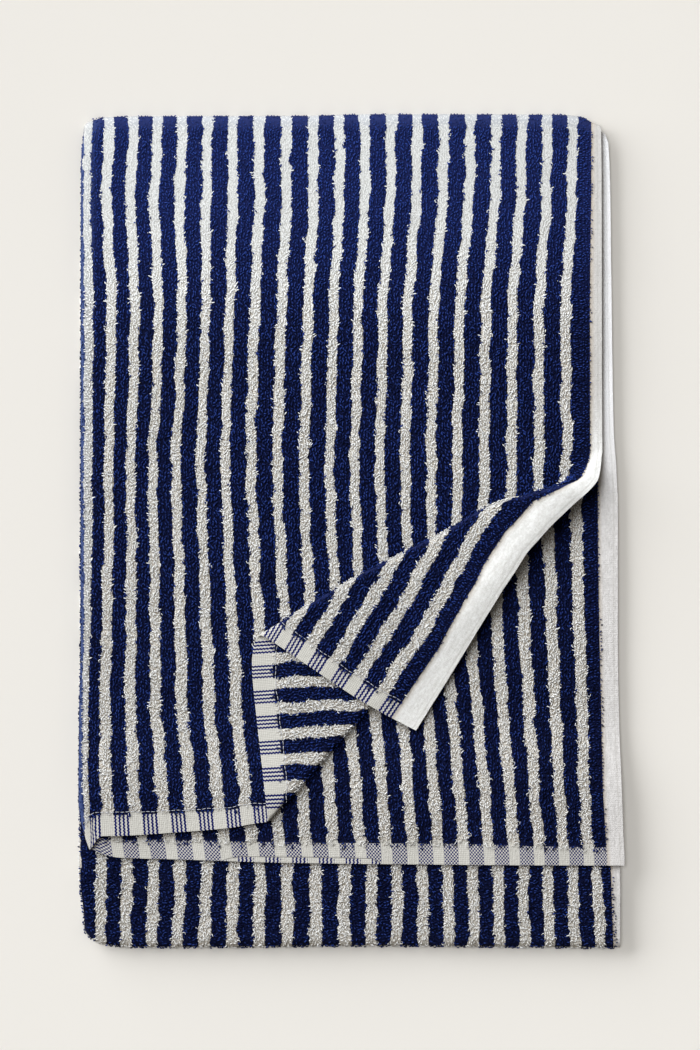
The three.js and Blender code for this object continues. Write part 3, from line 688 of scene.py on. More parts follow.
def new_mesh(name, vertices, faces):
    """A smooth mesh object from arrays, vertices in plan millimetres."""
    places = (np.asarray(vertices) + SHIFT) * MM
    mesh = bpy.data.meshes.new(name)
    corners = faces.shape[1]
    mesh.vertices.add(len(places))
    mesh.vertices.foreach_set("co", places.astype(np.float32).ravel())
    mesh.loops.add(faces.size)
    mesh.loops.foreach_set("vertex_index", faces.astype(np.int32).ravel())
    mesh.polygons.add(len(faces))
    mesh.polygons.foreach_set("loop_start", np.arange(0, faces.size, corners, dtype=np.int32))
    mesh.polygons.foreach_set("use_smooth", np.ones(len(faces), bool))
    mesh.update(calc_edges=True)
    mesh.validate()
    piece = bpy.data.objects.new(name, mesh)
    bpy.context.scene.collection.objects.link(piece)
    return piece


def set_attribute(piece, name, values):
    layer = piece.data.attributes.new(name, "FLOAT", "POINT")
    layer.data.foreach_set("value", np.asarray(values, np.float32).ravel())


rows = mesh_rows()
grid_from, crest_at = mesh_columns(rows)
grid_along = np.repeat(rows[:, None], grid_from.shape[1], 1)


def face_at(height):
    """The grid of the cloth at a height over its middle surface, as a list of points."""
    return cloth_at(grid_from, grid_along, height)[0].reshape(-1, 3)


solid_like = np.concatenate([face_at(side * CAD_THICKNESS / 2) for side in (1, -1)])
low, high = solid_like.min(0), solid_like.max(0)
# The plan's shift to the part's frame, whose origin is under the middle of the towel
SHIFT = np.array([-(low[0] + high[0]) / 2, -(low[1] + high[1]) / 2, -low[2]])

index = np.arange(grid_from.size).reshape(grid_from.shape)
a, b, c, d = index[:-1, :-1], index[:-1, 1:], index[1:, 1:], index[1:, :-1]
top_faces = np.stack([a, d, c, b], -1).reshape(-1, 4)
bottom_faces = top_faces[:, ::-1] + index.size


def rim_faces(path):
    under = path + index.size
    return np.stack([path[:-1], path[1:], under[1:], under[:-1]], -1)


rims = [rim_faces(path) for path in (index[0], index[:, -1], index[-1, ::-1], index[::-1, 0])]
cloth = new_mesh(
    "towel_cloth",
    np.concatenate([face_at(side * GROUND_THICKNESS / 2) for side in (1, -1)]),
    np.concatenate([top_faces, bottom_faces, *rims]),
)

# Height of the pile where the cloth is folded or smoothed, as a share of its full height,
# and how far from there it is pressed down
NAP = {"top": 0.3, "bottom": 0.9, "left": 0.3, "calm": 0.8, "crest": 0.55}
NAP_REACH = {"top": 9, "bottom": 8, "left": 3, "crest": (1.5, 5.0)}
# Heights of the pleat's crest where its pile starts to lie flat and where it lies flattest
FOLDED_CREST = (2, 8)
CALM_FROM, CALM_TO, CALM_PAST = 250, 40, 20
# How far past the left fold's round its side starts, and how far in it is full
SIDE_PAST, SIDE_IN = 2, 1


def calm(v):
    """How calm the pile lies, smoothed by hand, from 0 low on the top panel to 1 at its fold."""
    return ease(v, TOP_PANEL - CALM_FROM, TOP_PANEL - CALM_TO) * (v < MIDDLE_START + CALM_PAST)


def nap(u, v):
    """Height of the pile as a share: it lies flatter where the cloth is folded sharply."""
    reach = NAP_REACH
    top = ease(v, TOP_PANEL - reach["top"], TOP_PANEL)
    top = top * (1 - ease(v, MIDDLE_START, MIDDLE_START + reach["top"]))
    bottom = ease(v, MIDDLE_END - reach["bottom"], MIDDLE_END)
    bottom = bottom * (1 - ease(v, TAIL_START, TAIL_START + reach["bottom"]))
    left = 1 - ease(np.abs(u), ROUND_LENGTH, ROUND_LENGTH + reach["left"])
    left = left * (v < MIDDLE_START)
    share = (1 - (1 - NAP["top"]) * top) * (1 - (1 - NAP["bottom"]) * bottom)
    share = share * (1 - (1 - NAP["left"]) * left) * (1 - (1 - NAP["calm"]) * calm(v))
    crest = np.interp(v, rows, crest_at)
    left_x, y, _ = on_top_panel(u, np.minimum(v, TOP_PANEL))
    roll = np.hypot(left_x + crest - PLEAT_X, y - PLEAT_Y)
    folded = ease(read(PLEAT, "crest", roll), *FOLDED_CREST)
    folded = (v < TOP_PANEL) * (y < PLEAT_Y) * folded
    near = 1 - ease(np.abs(u - crest), *reach["crest"])
    return share * (1 - (1 - NAP["crest"]) * folded * near)


grid_hem, grid_deep = hem_distance(grid_from, grid_along)
grid_stray, grid_swell = wander(grid_from, grid_along)
for name, values in (
    ("stripe", stripe_number(grid_from, grid_along)),
    ("hem", grid_hem - grid_deep),
    ("rim", grid_hem),
    ("lip", read(LIP_SHOWN, "deep", grid_from)),
    ("along", grid_along),
    ("edge", edge_at(grid_from, grid_along) - np.abs(grid_from)),
    ("half", np.sign(grid_from)),
    ("stray", grid_stray),
    ("swell", grid_swell),
    ("nap", nap(grid_from, grid_along)),
    ("calm", calm(grid_along)),
    ("side", ease(-np.abs(grid_from), -ROUND_LENGTH - SIDE_PAST, -ROUND_LENGTH + SIDE_IN)),
):
    set_attribute(cloth, name, np.concatenate([values.ravel(), values.ravel()]))

LOOK_STEP = 6.5
LOOK_HEIGHT = 1.6
LOOK_RISES = (12, 40)
LOOK_TURNS = range(0, 360, 45)


def way_to(turn, rise):
    """The way towards a turn and a rise in degrees."""
    turn, rise = math.radians(turn), math.radians(rise)
    level = math.cos(rise)
    return Vector((math.cos(turn) * level, math.sin(turn) * level, math.sin(rise)))


def shown_grid(side):
    """Coarse grid over the cloth that says where its face on one side can be seen."""
    tree = BVHTree.FromObject(cloth, bpy.context.evaluated_depsgraph_get())
    alongs = np.arange(0, CLOTH_LENGTH + LOOK_STEP, LOOK_STEP)
    shares = np.linspace(-1, 1, int(CLOTH_WIDTH / LOOK_STEP))
    along = np.repeat(alongs[:, None], len(shares), 1)
    share = np.repeat(shares[None], len(alongs), 0)
    out_from = share * edge_at(share, along)
    points = (cloth_at(out_from, along, side * LOOK_HEIGHT)[0] + SHIFT) * MM
    ways = [Vector((0.0, 0.0, 1.0))]
    ways += [way_to(turn, rise) for rise in LOOK_RISES for turn in LOOK_TURNS]
    seen = np.zeros(along.shape, bool)
    for i, j in np.ndindex(*along.shape):
        start = Vector(points[i, j])
        seen[i, j] = any(tree.ray_cast(start, way)[0] is None for way in ways)
    grown = seen.copy()
    grown[1:] |= seen[:-1]
    grown[:-1] |= seen[1:]
    grown[:, 1:] |= seen[:, :-1]
    grown[:, :-1] |= seen[:, 1:]
    return grown


def is_shown(grid, out_from, along):
    """Whether the coarse grid's nearest point to each place is seen."""
    share = np.clip(out_from / edge_at(out_from, along), -1, 1)
    last_i, last_j = grid.shape[0] - 1, grid.shape[1] - 1
    i = np.clip(np.round(along / LOOK_STEP).astype(int), 0, last_i)
    j = np.clip(np.round((share + 1) / 2 * last_j).astype(int), 0, last_j)
    return grid[i, j]


# The pile's loops: their spacing across and along the cloth, length, height and the radius of
# their yarn, how far they reach over the hem and how much that sways. The share of curls
# among them is given high on the top panel and low on it.
LOOPS = {
    "ivory": dict(across=2.15, along=2.85, length=3.9, height=1.5, yarn=0.57, tuft=1.4, sway=0.8),
    "navy": dict(across=2.85, along=3.05, length=3.6, height=1.6, yarn=0.75, tuft=3.4, sway=2.2),
}
CURLED = {"ivory": (0.12, 0.4), "navy": (0.0, 0.0)}
# How much loops differ from each other, as shares
VARIES = dict(length=(0.75, 1.25), height=(0.6, 1.3), yarn=(0.85, 1.15), curl=(0.75, 1.2))
ROOTS_WIDER = 20
ROOTS_JITTER = 0.7
BORDER_WANDER = 0.03
BORDER_REACH = 0.13
CURLS_FADE = (250, 60)
CURL_RADIUS = 1.55
CURL_OPEN = math.radians(62)
CURL_YARN = 0.8
TUFT_STEP = 9.0
TUFT_BEND = {"by": 2.3, "across": 17}
TUFT_SCATTER = 0.6
LOWER_TUFT = 1.2
THREAD_BARE = 0.8
THREAD_PRESS = 1.9
PRESSED_SHARE = 0.45
FANNED = math.radians(36)
NAVY_FAN = 0.3
SWIRLED = math.radians(40)
# Waves in the way the loops lie, each bent by another one. The first differs with the face.
SWIRLS = (
    (dict(across=3.4, along=5.3), dict(by=1.7, across=math.inf, along=9.1, turned=1)),
    (dict(across=5.9, along=-3.1), dict(by=2.1, across=13.7, along=17.0, turned=0)),
)
SCATTERED = math.radians(24)
BORDER_SCATTER = 0.25
HANGING_SCATTER = 0.6
COMBED = math.radians(75)
COMBED_OVER = 5
HOOKED_SHARE = 0.35
HOOKS = (1.3, 0.4)
HANGING_CURLS = 0.5
CURLS_PAST_HEM = 0.5
HANGING_WIDER = 0.8
HANGING_REACH = 2.5
OUTERMOST = (LAST_STRIPE_EDGE - 1.1, LAST_STRIPE_EDGE - 0.9)
OUTMOST = (LAST_STRIPE_EDGE - 0.75, LAST_STRIPE_EDGE - 0.6)
OUTMOST_SHORTER = 0.55
SOFTENED = 2.5
GROUND_TOP = GROUND_THICKNESS / 2
FLOOR_GAP = 0.05
SINK = 0.3
# Turns of a ring's three points around the yarn
RING = np.radians((90, 210, 330))
# A strand from root to root: how far along its length, how deep, how high as a share of its
# height, and how far aside as a share of its hook. A curl has the depths and heights alone.
STRAND = ((-0.5, -SINK, 0, 0), (-0.2, 0, 0.95, 0.1), (0.2, 0, 0.9, 0.5), (0.5, -SINK, 0, 1))
CURL = ((-SINK, 0), (0, 0.75), (0, 1.15), (0, 0.75), (-SINK, 0))
# Least length, yarn and curl of a loop where the pile is pressed down, as shares
PRESSED = {"length": 0.6, "yarn": 0.7, "curl": 0.6}
CALM_LOWER = 0.55
CALM_THICKER = 0.1
CALM_FLATTER = 0.5
CALM_EVENER = 0.85
# Share of tone by which navy loops are painted lighter near the top fold, as light falling there
CALM_PAINTED_LIGHT = 0.4
# How far calm strands are lifted out of the painted shade at their foot
CALM_RISE = {"ivory": 0.7, "navy": 0.3}
SHADED_TONE = 0.2


def loop_roots(colour, side, grid):
    """Places of one colour's loops on one face of the cloth, where they can be seen."""
    kind = LOOPS[colour]
    widest = CLOTH_WIDTH / 2 + ROOTS_WIDER
    us = np.arange(-widest, widest, kind["across"])
    vs = np.arange(0, CLOTH_LENGTH, kind["along"])
    u, v = np.meshgrid(us, vs)
    v = v + kind["along"] / 2 * (np.arange(len(us)) % 2)[None]
    u, v = u.ravel(), v.ravel()
    u = u + kind["across"] * (rng.random(u.size) - 0.5) * ROOTS_JITTER
    v = v + kind["along"] * (rng.random(v.size) - 0.5) * ROOTS_JITTER
    keep = (v > 0) & (v < CLOTH_LENGTH) & (np.abs(u) < edge_at(u, v)) & is_shown(grid, u, v)
    u, v = u[keep], v[keep]
    hem, deep = hem_distance(u, v)
    bent = TUFT_BEND["by"] * np.sin(u / TUFT_BEND["across"])
    sway = np.sin(2 * math.pi * u / TUFT_STEP + bent)
    sway = sway + TUFT_SCATTER * rng.normal(0, 1, u.size)
    tuft = kind["tuft"] + kind["sway"] * sway + np.where(u < 0, LOWER_TUFT, 0)
    keep = (hem > deep - tuft) & (np.abs(hem - deep) > THREAD_BARE)
    u, v = u[keep], v[keep]
    stray, swell = wander(u, v)
    stripe = stripe_number(u, v) + stray
    blurred = stripe + BORDER_WANDER * 2 * (rng.random(u.size) - 0.5)
    inside = (stripe < LAST_STRIPE_EDGE) & (stripe > 1 - LAST_STRIPE_EDGE)
    half_width = STRIPE_HALF + swell
    from_dark = np.abs(blurred - np.round(blurred))
    keep = inside & (from_dark < half_width if colour == "navy" else from_dark > half_width)
    return u[keep], v[keep], stripe[keep], np.full(keep.sum(), side)


def swirl(u, v, side):
    """Slow change of the way the loops lie, between -1 and 1."""
    total = 0
    for wave, bend in SWIRLS:
        bent = np.sin(u / bend["across"] + v / bend["along"] + bend["turned"] * side)
        total = total + np.sin(u / wave["across"] + v / wave["along"] + bend["by"] * bent)
    return total / len(SWIRLS)


def loop_lean(colour, u, v, stripe, side, aside, hanging):
    """The way each loop lies, as an angle from across the cloth."""
    navy = colour == "navy"
    fan = FANNED * np.clip(aside, -1, 1) * (NAVY_FAN if navy else 1)
    lain = SWIRLED * swirl(u, v, side) + rng.normal(0, SCATTERED, u.size)
    sideways = navy * COMBED * ease(v, MIDDLE_START - COMBED_OVER, MIDDLE_START + COMBED_OVER)
    lean = math.pi / 2 - fan + lain + sideways
    combed = np.where(u > 0, 0, math.pi) + rng.normal(0, BORDER_SCATTER, u.size)
    lean = lean + (combed - lean) * (ease(np.abs(stripe - 0.5), *OUTERMOST) if navy else 0)
    return lean + (rng.normal(-math.pi / 2, HANGING_SCATTER, u.size) - lean) * hanging


def strand_vertices(spine, out, yarn, flat):
    """A strand's two ends with a ring of three points at each bend of its spine between."""
    rings = []
    for before, here, after in zip(spine, spine[1:], spine[2:]):
        way = after - before
        normal = np.cross(way, out)
        normal /= np.linalg.norm(normal, axis=-1, keepdims=True)
        lifted = np.cross(normal, way)
        lifted /= np.linalg.norm(lifted, axis=-1, keepdims=True)
        for angle in RING:
            turned = normal * math.cos(angle) + lifted * (math.sin(angle) * flat)[:, None]
            rings.append(here + turned * yarn[:, None])
    return np.stack([spine[0], *rings, spine[-1]], 1)


def pressed(name, share):
    return PRESSED[name] + (1 - PRESSED[name]) * share


def build_loops(colour, curled, u, v, stripe, side):
    """Vertices of loops that are strands or curls, the turn of their normals towards the
    cloth's, and their tone, rise and calm."""
    kind, ivory = LOOPS[colour], colour == "ivory"
    count = u.size
    roots, across, down, out = cloth_at(u, v, GROUND_TOP, side)
    light = stripe - 0.5 if ivory else stripe
    aside = (light - np.round(light)) / (0.5 - STRIPE_HALF if ivory else STRIPE_HALF)
    hem, deep = hem_distance(u, v)
    hanging = 1 - ease(hem - deep, 0, HANGING_REACH)
    lean = loop_lean(colour, u, v, stripe, side, aside, hanging)
    run = across * np.cos(lean)[:, None] + down * np.sin(lean)[:, None]
    beside = np.cross(out, run)
    share = nap(u, v)
    still = calm(v) * ivory
    length = kind["length"] * rng.uniform(*VARIES["length"], count)
    length *= pressed("length", share)
    outmost = ease(np.abs(stripe - 0.5), *OUTMOST)
    length *= 1 - OUTMOST_SHORTER * outmost * (not ivory)
    reaching = np.clip((np.abs(aside) - 0.5) / 0.5, 0, 1) * ivory * (1 - outmost)
    length *= 1 + BORDER_REACH * reaching
    roots = roots + run * (length * BORDER_REACH * reaching)[:, None]
    height = kind["height"] * rng.uniform(*VARIES["height"], count) * share
    height = height * (1 - CALM_LOWER * still)
    height = height * np.where(np.abs(hem - deep) < THREAD_PRESS, PRESSED_SHARE, 1)
    yarn = kind["yarn"] * rng.uniform(*VARIES["yarn"], count)
    yarn = yarn * pressed("yarn", share) * (1 + CALM_THICKER * still)
    hook = np.where(rng.random(count) < HOOKED_SHARE, *HOOKS) * rng.normal(0, 1, count)
    if curled:
        yarn = CURL_YARN * yarn
        radius = CURL_RADIUS * rng.uniform(*VARIES["curl"], count) * pressed("curl", share)
        radius *= 1 + HANGING_WIDER * hanging * (u < 0)
        turns = rng.uniform(0, 2 * math.pi, count)
        around = np.linspace(CURL_OPEN / 2, 2 * math.pi - CURL_OPEN / 2, len(CURL))
        spine = [
            roots
            + run * (radius * np.cos(angle + turns))[:, None]
            + beside * (radius * np.sin(angle + turns))[:, None]
            + out * (deep_in + height * up)[:, None]
            for angle, (deep_in, up) in zip(around, CURL)
        ]
    else:
        spine = [
            roots
            + run * (length * ahead)[:, None]
            + out * (deep_in + height * up)[:, None]
            + beside * (hook * sidewards)[:, None]
            for ahead, deep_in, up, sidewards in STRAND
        ]
    vertices = strand_vertices(spine, out, yarn, 1 - CALM_FLATTER * still)
    rise = np.einsum("npk,nk->np", vertices - roots[:, None], out) / kind["height"]
    z = vertices[..., 2]
    press = (GROUND_TOP - FLOOR_GAP) / (GROUND_TOP - min(z.min(), 0))
    vertices[..., 2] = np.where(z < GROUND_TOP, GROUND_TOP - (GROUND_TOP - z) * press, z)
    tone = 0.5 + (rng.random(count) - 0.5) * (1 - CALM_EVENER * still)
    # Navy is painted lighter near the top fold, as light falling there, and darker on the lower
    # half and past the top panel, as shade
    if not ivory:
        tone += CALM_PAINTED_LIGHT * calm(v) - SHADED_TONE * ((u < 0) | (v > MIDDLE_START))
    rise += CALM_RISE[colour] * calm(v)[:, None]
    tone, still = (np.repeat(values[:, None], rise.shape[1], 1) for values in (tone, still))
    softened = out[:, None] * SOFTENED * still[:, :, None]
    return vertices, softened.reshape(-1, 3), tone.ravel(), rise.ravel(), still.ravel()


def strand_faces(ring_count):
    """Triangles of one closed strand with a point at each end and three corners to a ring."""
    last = 3 * ring_count + 1
    triangles = []
    for k in range(3):
        after = (k + 1) % 3
        triangles.append((0, 1 + k, 1 + after))
        for ring in range(ring_count - 1):
            one, two = 1 + 3 * ring, 4 + 3 * ring
            triangles.append((one + k, two + after, one + after))
            triangles.append((one + k, two + k, two + after))
        triangles.append((last, last - 3 + after, last - 3 + k))
    return np.array(triangles)


def all_strands(vertices, triangles):
    """Many strands of one make as one list of vertices and one of faces."""
    count, per = vertices.shape[:2]
    faces = (np.arange(count)[:, None, None] * per + triangles[None]).reshape(-1, 3)
    return vertices.reshape(-1, 3), faces


def soften(piece, by):
    """Turn a piece's normals towards the cloth's own, so that its shading is softer."""
    if not np.any(by):
        return
    normals = np.empty(len(by) * 3, np.float32)
    piece.data.vertex_normals.foreach_get("vector", normals)
    normals = normals.reshape(-1, 3) + by
    normals /= np.linalg.norm(normals, axis=1, keepdims=True)
    piece.data.normals_split_custom_set_from_vertices(normals)


PIECE_TRIANGLES = 195_000
FACES = {False: strand_faces(len(STRAND) - 2), True: strand_faces(len(CURL) - 2)}
pile_pieces = {"ivory": [], "navy": []}
grids = {side: shown_grid(side) for side in (1, -1)}
for colour in LOOPS:
    parts = [loop_roots(colour, side, grids[side]) for side in (1, -1)]
    u, v, stripe, side = (np.concatenate(values) for values in zip(*parts))
    least, most = CURLED[colour]
    curly = least + (most - least) * (ease(v, *CURLS_FADE) + (v > MIDDLE_START))
    hem, deep = hem_distance(u, v)
    curly += HANGING_CURLS * (colour == "ivory") * (u < 0) * (hem - deep < CURLS_PAST_HEM)
    curled = rng.random(u.size) < curly
    cost = np.where(curled, len(FACES[True]), len(FACES[False]))
    share_count = math.ceil(cost.sum() / PIECE_TRIANGLES)
    order = np.argsort(v, kind="stable")
    which = (np.cumsum(cost[order]) - 1) * share_count // cost.sum()
    for i in range(share_count):
        chosen = order[which == i]
        made, offset = [], 0
        for is_curled, triangles in FACES.items():
            some = chosen[curled[chosen] == is_curled]
            if some.size:
                here = (values[some] for values in (u, v, stripe, side))
                strands, *values = build_loops(colour, is_curled, *here)
                vertices, triangles = all_strands(strands, triangles)
                made.append((vertices, triangles + offset, *values))
                offset += len(vertices)
        vertices, triangles, softened, *values = map(np.concatenate, zip(*made))
        piece = new_mesh(f"pile_{colour}_{i + 1}", vertices, triangles)
        for name, value in zip(("tone", "rise", "calm"), values):
            set_attribute(piece, name, value)
        soften(piece, softened)
        pile_pieces[colour].append(piece)

STITCH = {"length": 4.3, "gap": 0.5, "radius": 0.34, "height": 0.75, "arch": 0.25, "sway": 0.3}
STITCH_STEPS = np.array([0, 0.15, 0.5, 0.85, 1])
STITCH_ARCH = np.array([-2.6, 0.3, 1, 0.3, -2.6])
STITCH_WAVES = (6.1, 2.3)
FIRST_STITCH = 3.0
HEM_INNER = 18.0


def build_thread(side):
    """Stitches in a row along the inner border of the top hem, on one face of the cloth."""
    pitch = STITCH["length"] + STITCH["gap"]
    end = free_edge(np.zeros(1), "upper")[0]
    starts = np.arange(FIRST_STITCH, end - pitch, pitch)
    middles = starts + STITCH["length"] / 2
    outward = np.abs(stripe_number(middles, np.full(middles.size, HEM_INNER)) - 0.5)
    starts = starts[outward < LAST_STRIPE_EDGE - 0.5]
    u = (starts[:, None] + STITCH["length"] * STITCH_STEPS[None]).ravel()
    hem = read(HEM_LINE, "y", u)
    deep = read(HEM_DEPTH, "deep", u)
    v = deep * TOP_PANEL / (TOP_TURN_Y - hem)
    slow, fast = STITCH_WAVES
    v = v + STITCH["sway"] * np.sin(u / slow + side) + STITCH["sway"] * np.sin(u / fast)
    roots, _, down, out = cloth_at(u, v, GROUND_TOP, side)
    arch = STITCH["height"] + STITCH["arch"] * STITCH_ARCH
    shape = (len(starts), len(STITCH_STEPS), 3)
    spine = (roots + out * np.tile(arch, len(starts))[:, None]).reshape(shape)
    beside, lifted = down.reshape(shape), out.reshape(shape)
    rings = [
        spine[:, k] + STITCH["radius"] * (beside[:, k] * math.cos(a) + lifted[:, k] * math.sin(a))
        for k in (1, 2, 3)
        for a in (RING if side > 0 else RING[::-1])
    ]
    return np.stack([spine[:, 0], *rings, spine[:, 4]], 1)


stitches = np.concatenate([build_thread(side) for side in (1, -1)])
thread = new_mesh("hem_thread", *all_strands(stitches, strand_faces(3)))

# Colours from 0 to 255. A pair is a surface where it is darkest and where it is lightest.
PAINTS = {
    # The ground pairs are painted darker than the yarn, as shade between the loops, darkest in
    # their creases; the calm pairs have shallower painted shade
    "navy_ground": ((3, 5, 20), (11, 20, 60)),
    # Navy's calm ground is also painted lighter, as light near the top fold
    "navy_calm": ((8, 13, 46), (22, 33, 84)),
    "navy_flat": ((22, 30, 72), (38, 48, 94)),
    "navy_side": (62, 76, 118),
    "navy_weave": (14, 22, 84),
    "ivory_ground": ((152, 142, 127), (226, 224, 219)),
    "ivory_calm": ((178, 176, 170), (200, 200, 197)),
    "ivory_flat": ((156, 157, 159), (182, 184, 187)),
    "ivory_side": (176, 176, 174),
    "ivory_weave": ((160, 157, 149), (216, 214, 207)),
    # The lower half's band is painted darker than the upper half's, as shade, and lit beside the
    # top panel, as painted light
    "upper_band": ((210, 208, 203), (245, 245, 243)),
    "lower_band": ((186, 183, 180), (218, 215, 213)),
    "lower_band_lit": (230, 229, 229),
    "upper_band_shaded": (172, 168, 164),
    # Painted shade on the side band beside and under the pile, and where it turns away
    "band_beside_pile": (186, 175, 160),
    "band_under_pile": (128, 116, 104),
    "band_far_shade": (184, 173, 160),
    "band_groove": (150, 145, 135),
    # Painted shadow along the edge where the hem lies over the lip
    "lip_seam": (92, 88, 84),
    "fleece": ((190, 190, 187), (217, 217, 214)),
    "stitch": ((188, 190, 200), (222, 223, 228)),
    "floor": ((240, 237, 231), (242, 239, 233)),
}
# Colours that stand for a whole material where its nodes aren't read
PLAIN = {"ground": (190, 184, 172), "stitch": (206, 208, 216), "floor": (241, 238, 231)}
# Pile yarn colours; deep is painted shade at each strand's foot
PILE = {
    "ivory": dict(deep=(188, 178, 162), dark=(226, 225, 221), light=(245, 246, 247), rough=0.92),
    "navy": dict(deep=(1, 3, 16), dark=(5, 11, 44), light=(42, 64, 136), rough=0.9),
}
SHEEN = 0.08
# Places of a mix node's colours among its inputs, and of the mixed one among its outputs
MIX_ONE, MIX_TWO, MIX_RESULT = 6, 7, 2

HALF_WIDTH = STRIPE_HALF * STRIPE_PITCH
RAGGED = 2.2
NAVY_TUFT = 3.2
RIB_PITCH = 1.6
PICK_PITCH = 1.9
ZIG_LENGTH = 3.2
ZIG_SWAY = 0.4
THREADS_A_STRIPE = 4
LINE_HALF = 0.9
LIP_SHIFT = 0.2
CHECK_ACROSS = 2.95
CHECK_ALONG = 3.4
PAST_LIP = 20.0
TWILL_ACROSS = 1.5
TWILL_ALONG = 1.7
BAND_TURNS = 390.0
BAND_GOES_UNDER = 1000.0
GROOVE_FROM_EDGE = 4.0
GROOVE_HALF = 0.6
GROOVE_SHARE = 0.22
# Painted shade on the side band beside the pile: how far inside the last stripe's edge each one
# ends, in stripe pitches, with its blur and its strength
BAND_SHADES = {
    "band_beside_pile": (0.38, 0.12, 0.6),
    "band_under_pile": (0.44, 0.05, 0.3),
    "band_far_shade": (0.3, 0.3, 0.6),
}


def linear(red, green, blue):
    """A colour given from 0 to 255 as Blender's linear one."""

    def one(value):
        value /= 255
        return value / 12.92 if value <= 0.04045 else ((value + 0.055) / 1.055) ** 2.4

    return (one(red), one(green), one(blue), 1.0)


class Value:
    """A number or a colour that a material works out at each point."""

    def __init__(self, shading, socket):
        self.shading, self.socket = shading, socket

    def __add__(self, other):
        return self.shading.math("ADD", self, other)

    def __mul__(self, other):
        return self.shading.math("MULTIPLY", self, other)

    def __sub__(self, other):
        return self.shading.math("SUBTRACT", self, other)

    def __rsub__(self, other):
        return self.shading.math("SUBTRACT", other, self)

    def __abs__(self):
        return self.shading.math("ABSOLUTE", self)

    def wave(self, length, kind="SINE"):
        return self.shading.math(kind, self * (2 * math.pi / length))

    def above(self, edge, blur):
        """0 below edge and 1 above it, over a short ramp."""
        made = self.shading.node("ShaderNodeMapRange", interpolation_type="SMOOTHSTEP")
        self.shading.join(self, made.inputs["Value"])
        made.inputs["From Min"].default_value = edge - blur
        made.inputs["From Max"].default_value = edge + blur
        return Value(self.shading, made.outputs["Result"])

    def below(self, edge, blur):
        return 1.0 - self.above(edge, blur)


class Shading:
    """A material's nodes, with short calls for what they make."""

    def __init__(self, name, colour, roughness):
        self.material = bpy.data.materials.new(name)
        self.material.use_nodes = True
        self.material.diffuse_color = colour
        self.tree = self.material.node_tree
        self.shader = self.tree.nodes["Principled BSDF"]
        self.shader.inputs["Base Color"].default_value = colour
        self.shader.inputs["Roughness"].default_value = roughness
        self.shader.inputs["Specular IOR Level"].default_value = SHEEN

    def node(self, kind, **settings):
        made = self.tree.nodes.new(kind)
        for key, value in settings.items():
            setattr(made, key, value)
        return made

    def join(self, value, socket):
        if isinstance(value, Value):
            self.tree.links.new(value.socket, socket)
        else:
            socket.default_value = value

    def math(self, operation, *values):
        made = self.node("ShaderNodeMath", operation=operation)
        for value, socket in zip(values, made.inputs):
            self.join(value, socket)
        return Value(self, made.outputs[0])

    def __getitem__(self, name):
        """An attribute of the piece, by name."""
        return Value(self, self.node("ShaderNodeAttribute", attribute_name=name).outputs["Fac"])

    def textured(self, kind, output, at=None, **inputs):
        """A texture at a place on the piece, with settings and inputs by name."""
        made = self.node(kind, **inputs.pop("settings", {}))
        for name, value in inputs.items():
            made.inputs[name].default_value = value
        place = at or self.node("ShaderNodeTexCoord").outputs["Object"]
        self.tree.links.new(place, made.inputs["Vector"])
        return Value(self, made.outputs[output])

    def noise(self, scale, detail=2.0, roughness=0.5, at=None):
        return self.textured(
            "ShaderNodeTexNoise", "Fac", at, Scale=scale, Detail=detail, Roughness=roughness
        )

    def cells(self, scale):
        """Nearness to the creases between small cells, from 0 at a crease."""
        settings = {"feature": "DISTANCE_TO_EDGE"}
        return self.textured("ShaderNodeTexVoronoi", "Distance", Scale=scale, settings=settings)

    def mix(self, share, one, two):
        made = self.node("ShaderNodeMix", data_type="RGBA")
        for value, socket in ((share, "Factor"), (one, MIX_ONE), (two, MIX_TWO)):
            self.join(value, made.inputs[socket])
        return Value(self, made.outputs[MIX_RESULT])

    def paint(self, share, name):
        """Between the dark and the light colour of a pair."""
        dark, light = PAINTS[name]
        return self.mix(share, linear(*dark), linear(*light))

    def tint(self, share, colour, name):
        """A colour moved by a share to a single one."""
        return self.mix(share, colour, linear(*PAINTS[name]))

    def colour(self, value):
        self.join(value, self.shader.inputs["Base Color"])

    def bump(self, value, strength, distance):
        made = self.node("ShaderNodeBump")
        made.inputs["Strength"].default_value = strength
        made.inputs["Distance"].default_value = distance
        self.join(value, made.inputs["Height"])
        self.tree.links.new(made.outputs["Normal"], self.shader.inputs["Normal"])


def pile_material(colour):
    """Yarn painted darker at its foot as shade, and between dark and light along each strand."""
    deep, dark, light = (linear(*PILE[colour][tone]) for tone in ("deep", "dark", "light"))
    shading = Shading(f"{colour}_pile", light, PILE[colour]["rough"])
    patches = shading.noise(scale=38.0, detail=3.0, roughness=0.6)
    yarn = shading.noise(scale=900.0, detail=2.0, roughness=0.6)
    share = patches * 0.35 + yarn * 0.4 + shading["tone"] * 0.5
    share = share.above(edge=0.62, blur=0.4)
    # Painted shade at the foot of each strand, where its rise is low
    tip = shading["rise"].above(edge=0.45, blur=0.5)
    strand = shading.mix(tip, deep, shading.mix(share, dark, light))
    fleece = shading.paint(yarn, "fleece")
    shading.colour(shading.mix(shading["calm"], strand, fleece))
    shading.bump(yarn, strength=0.3, distance=0.0004)
    return shading.material


def from_middle(stripe):
    """Millimetres to the side of the nearest dark stripe's middle."""
    return (stripe - stripe.shading.math("ROUND", stripe)) * STRIPE_PITCH


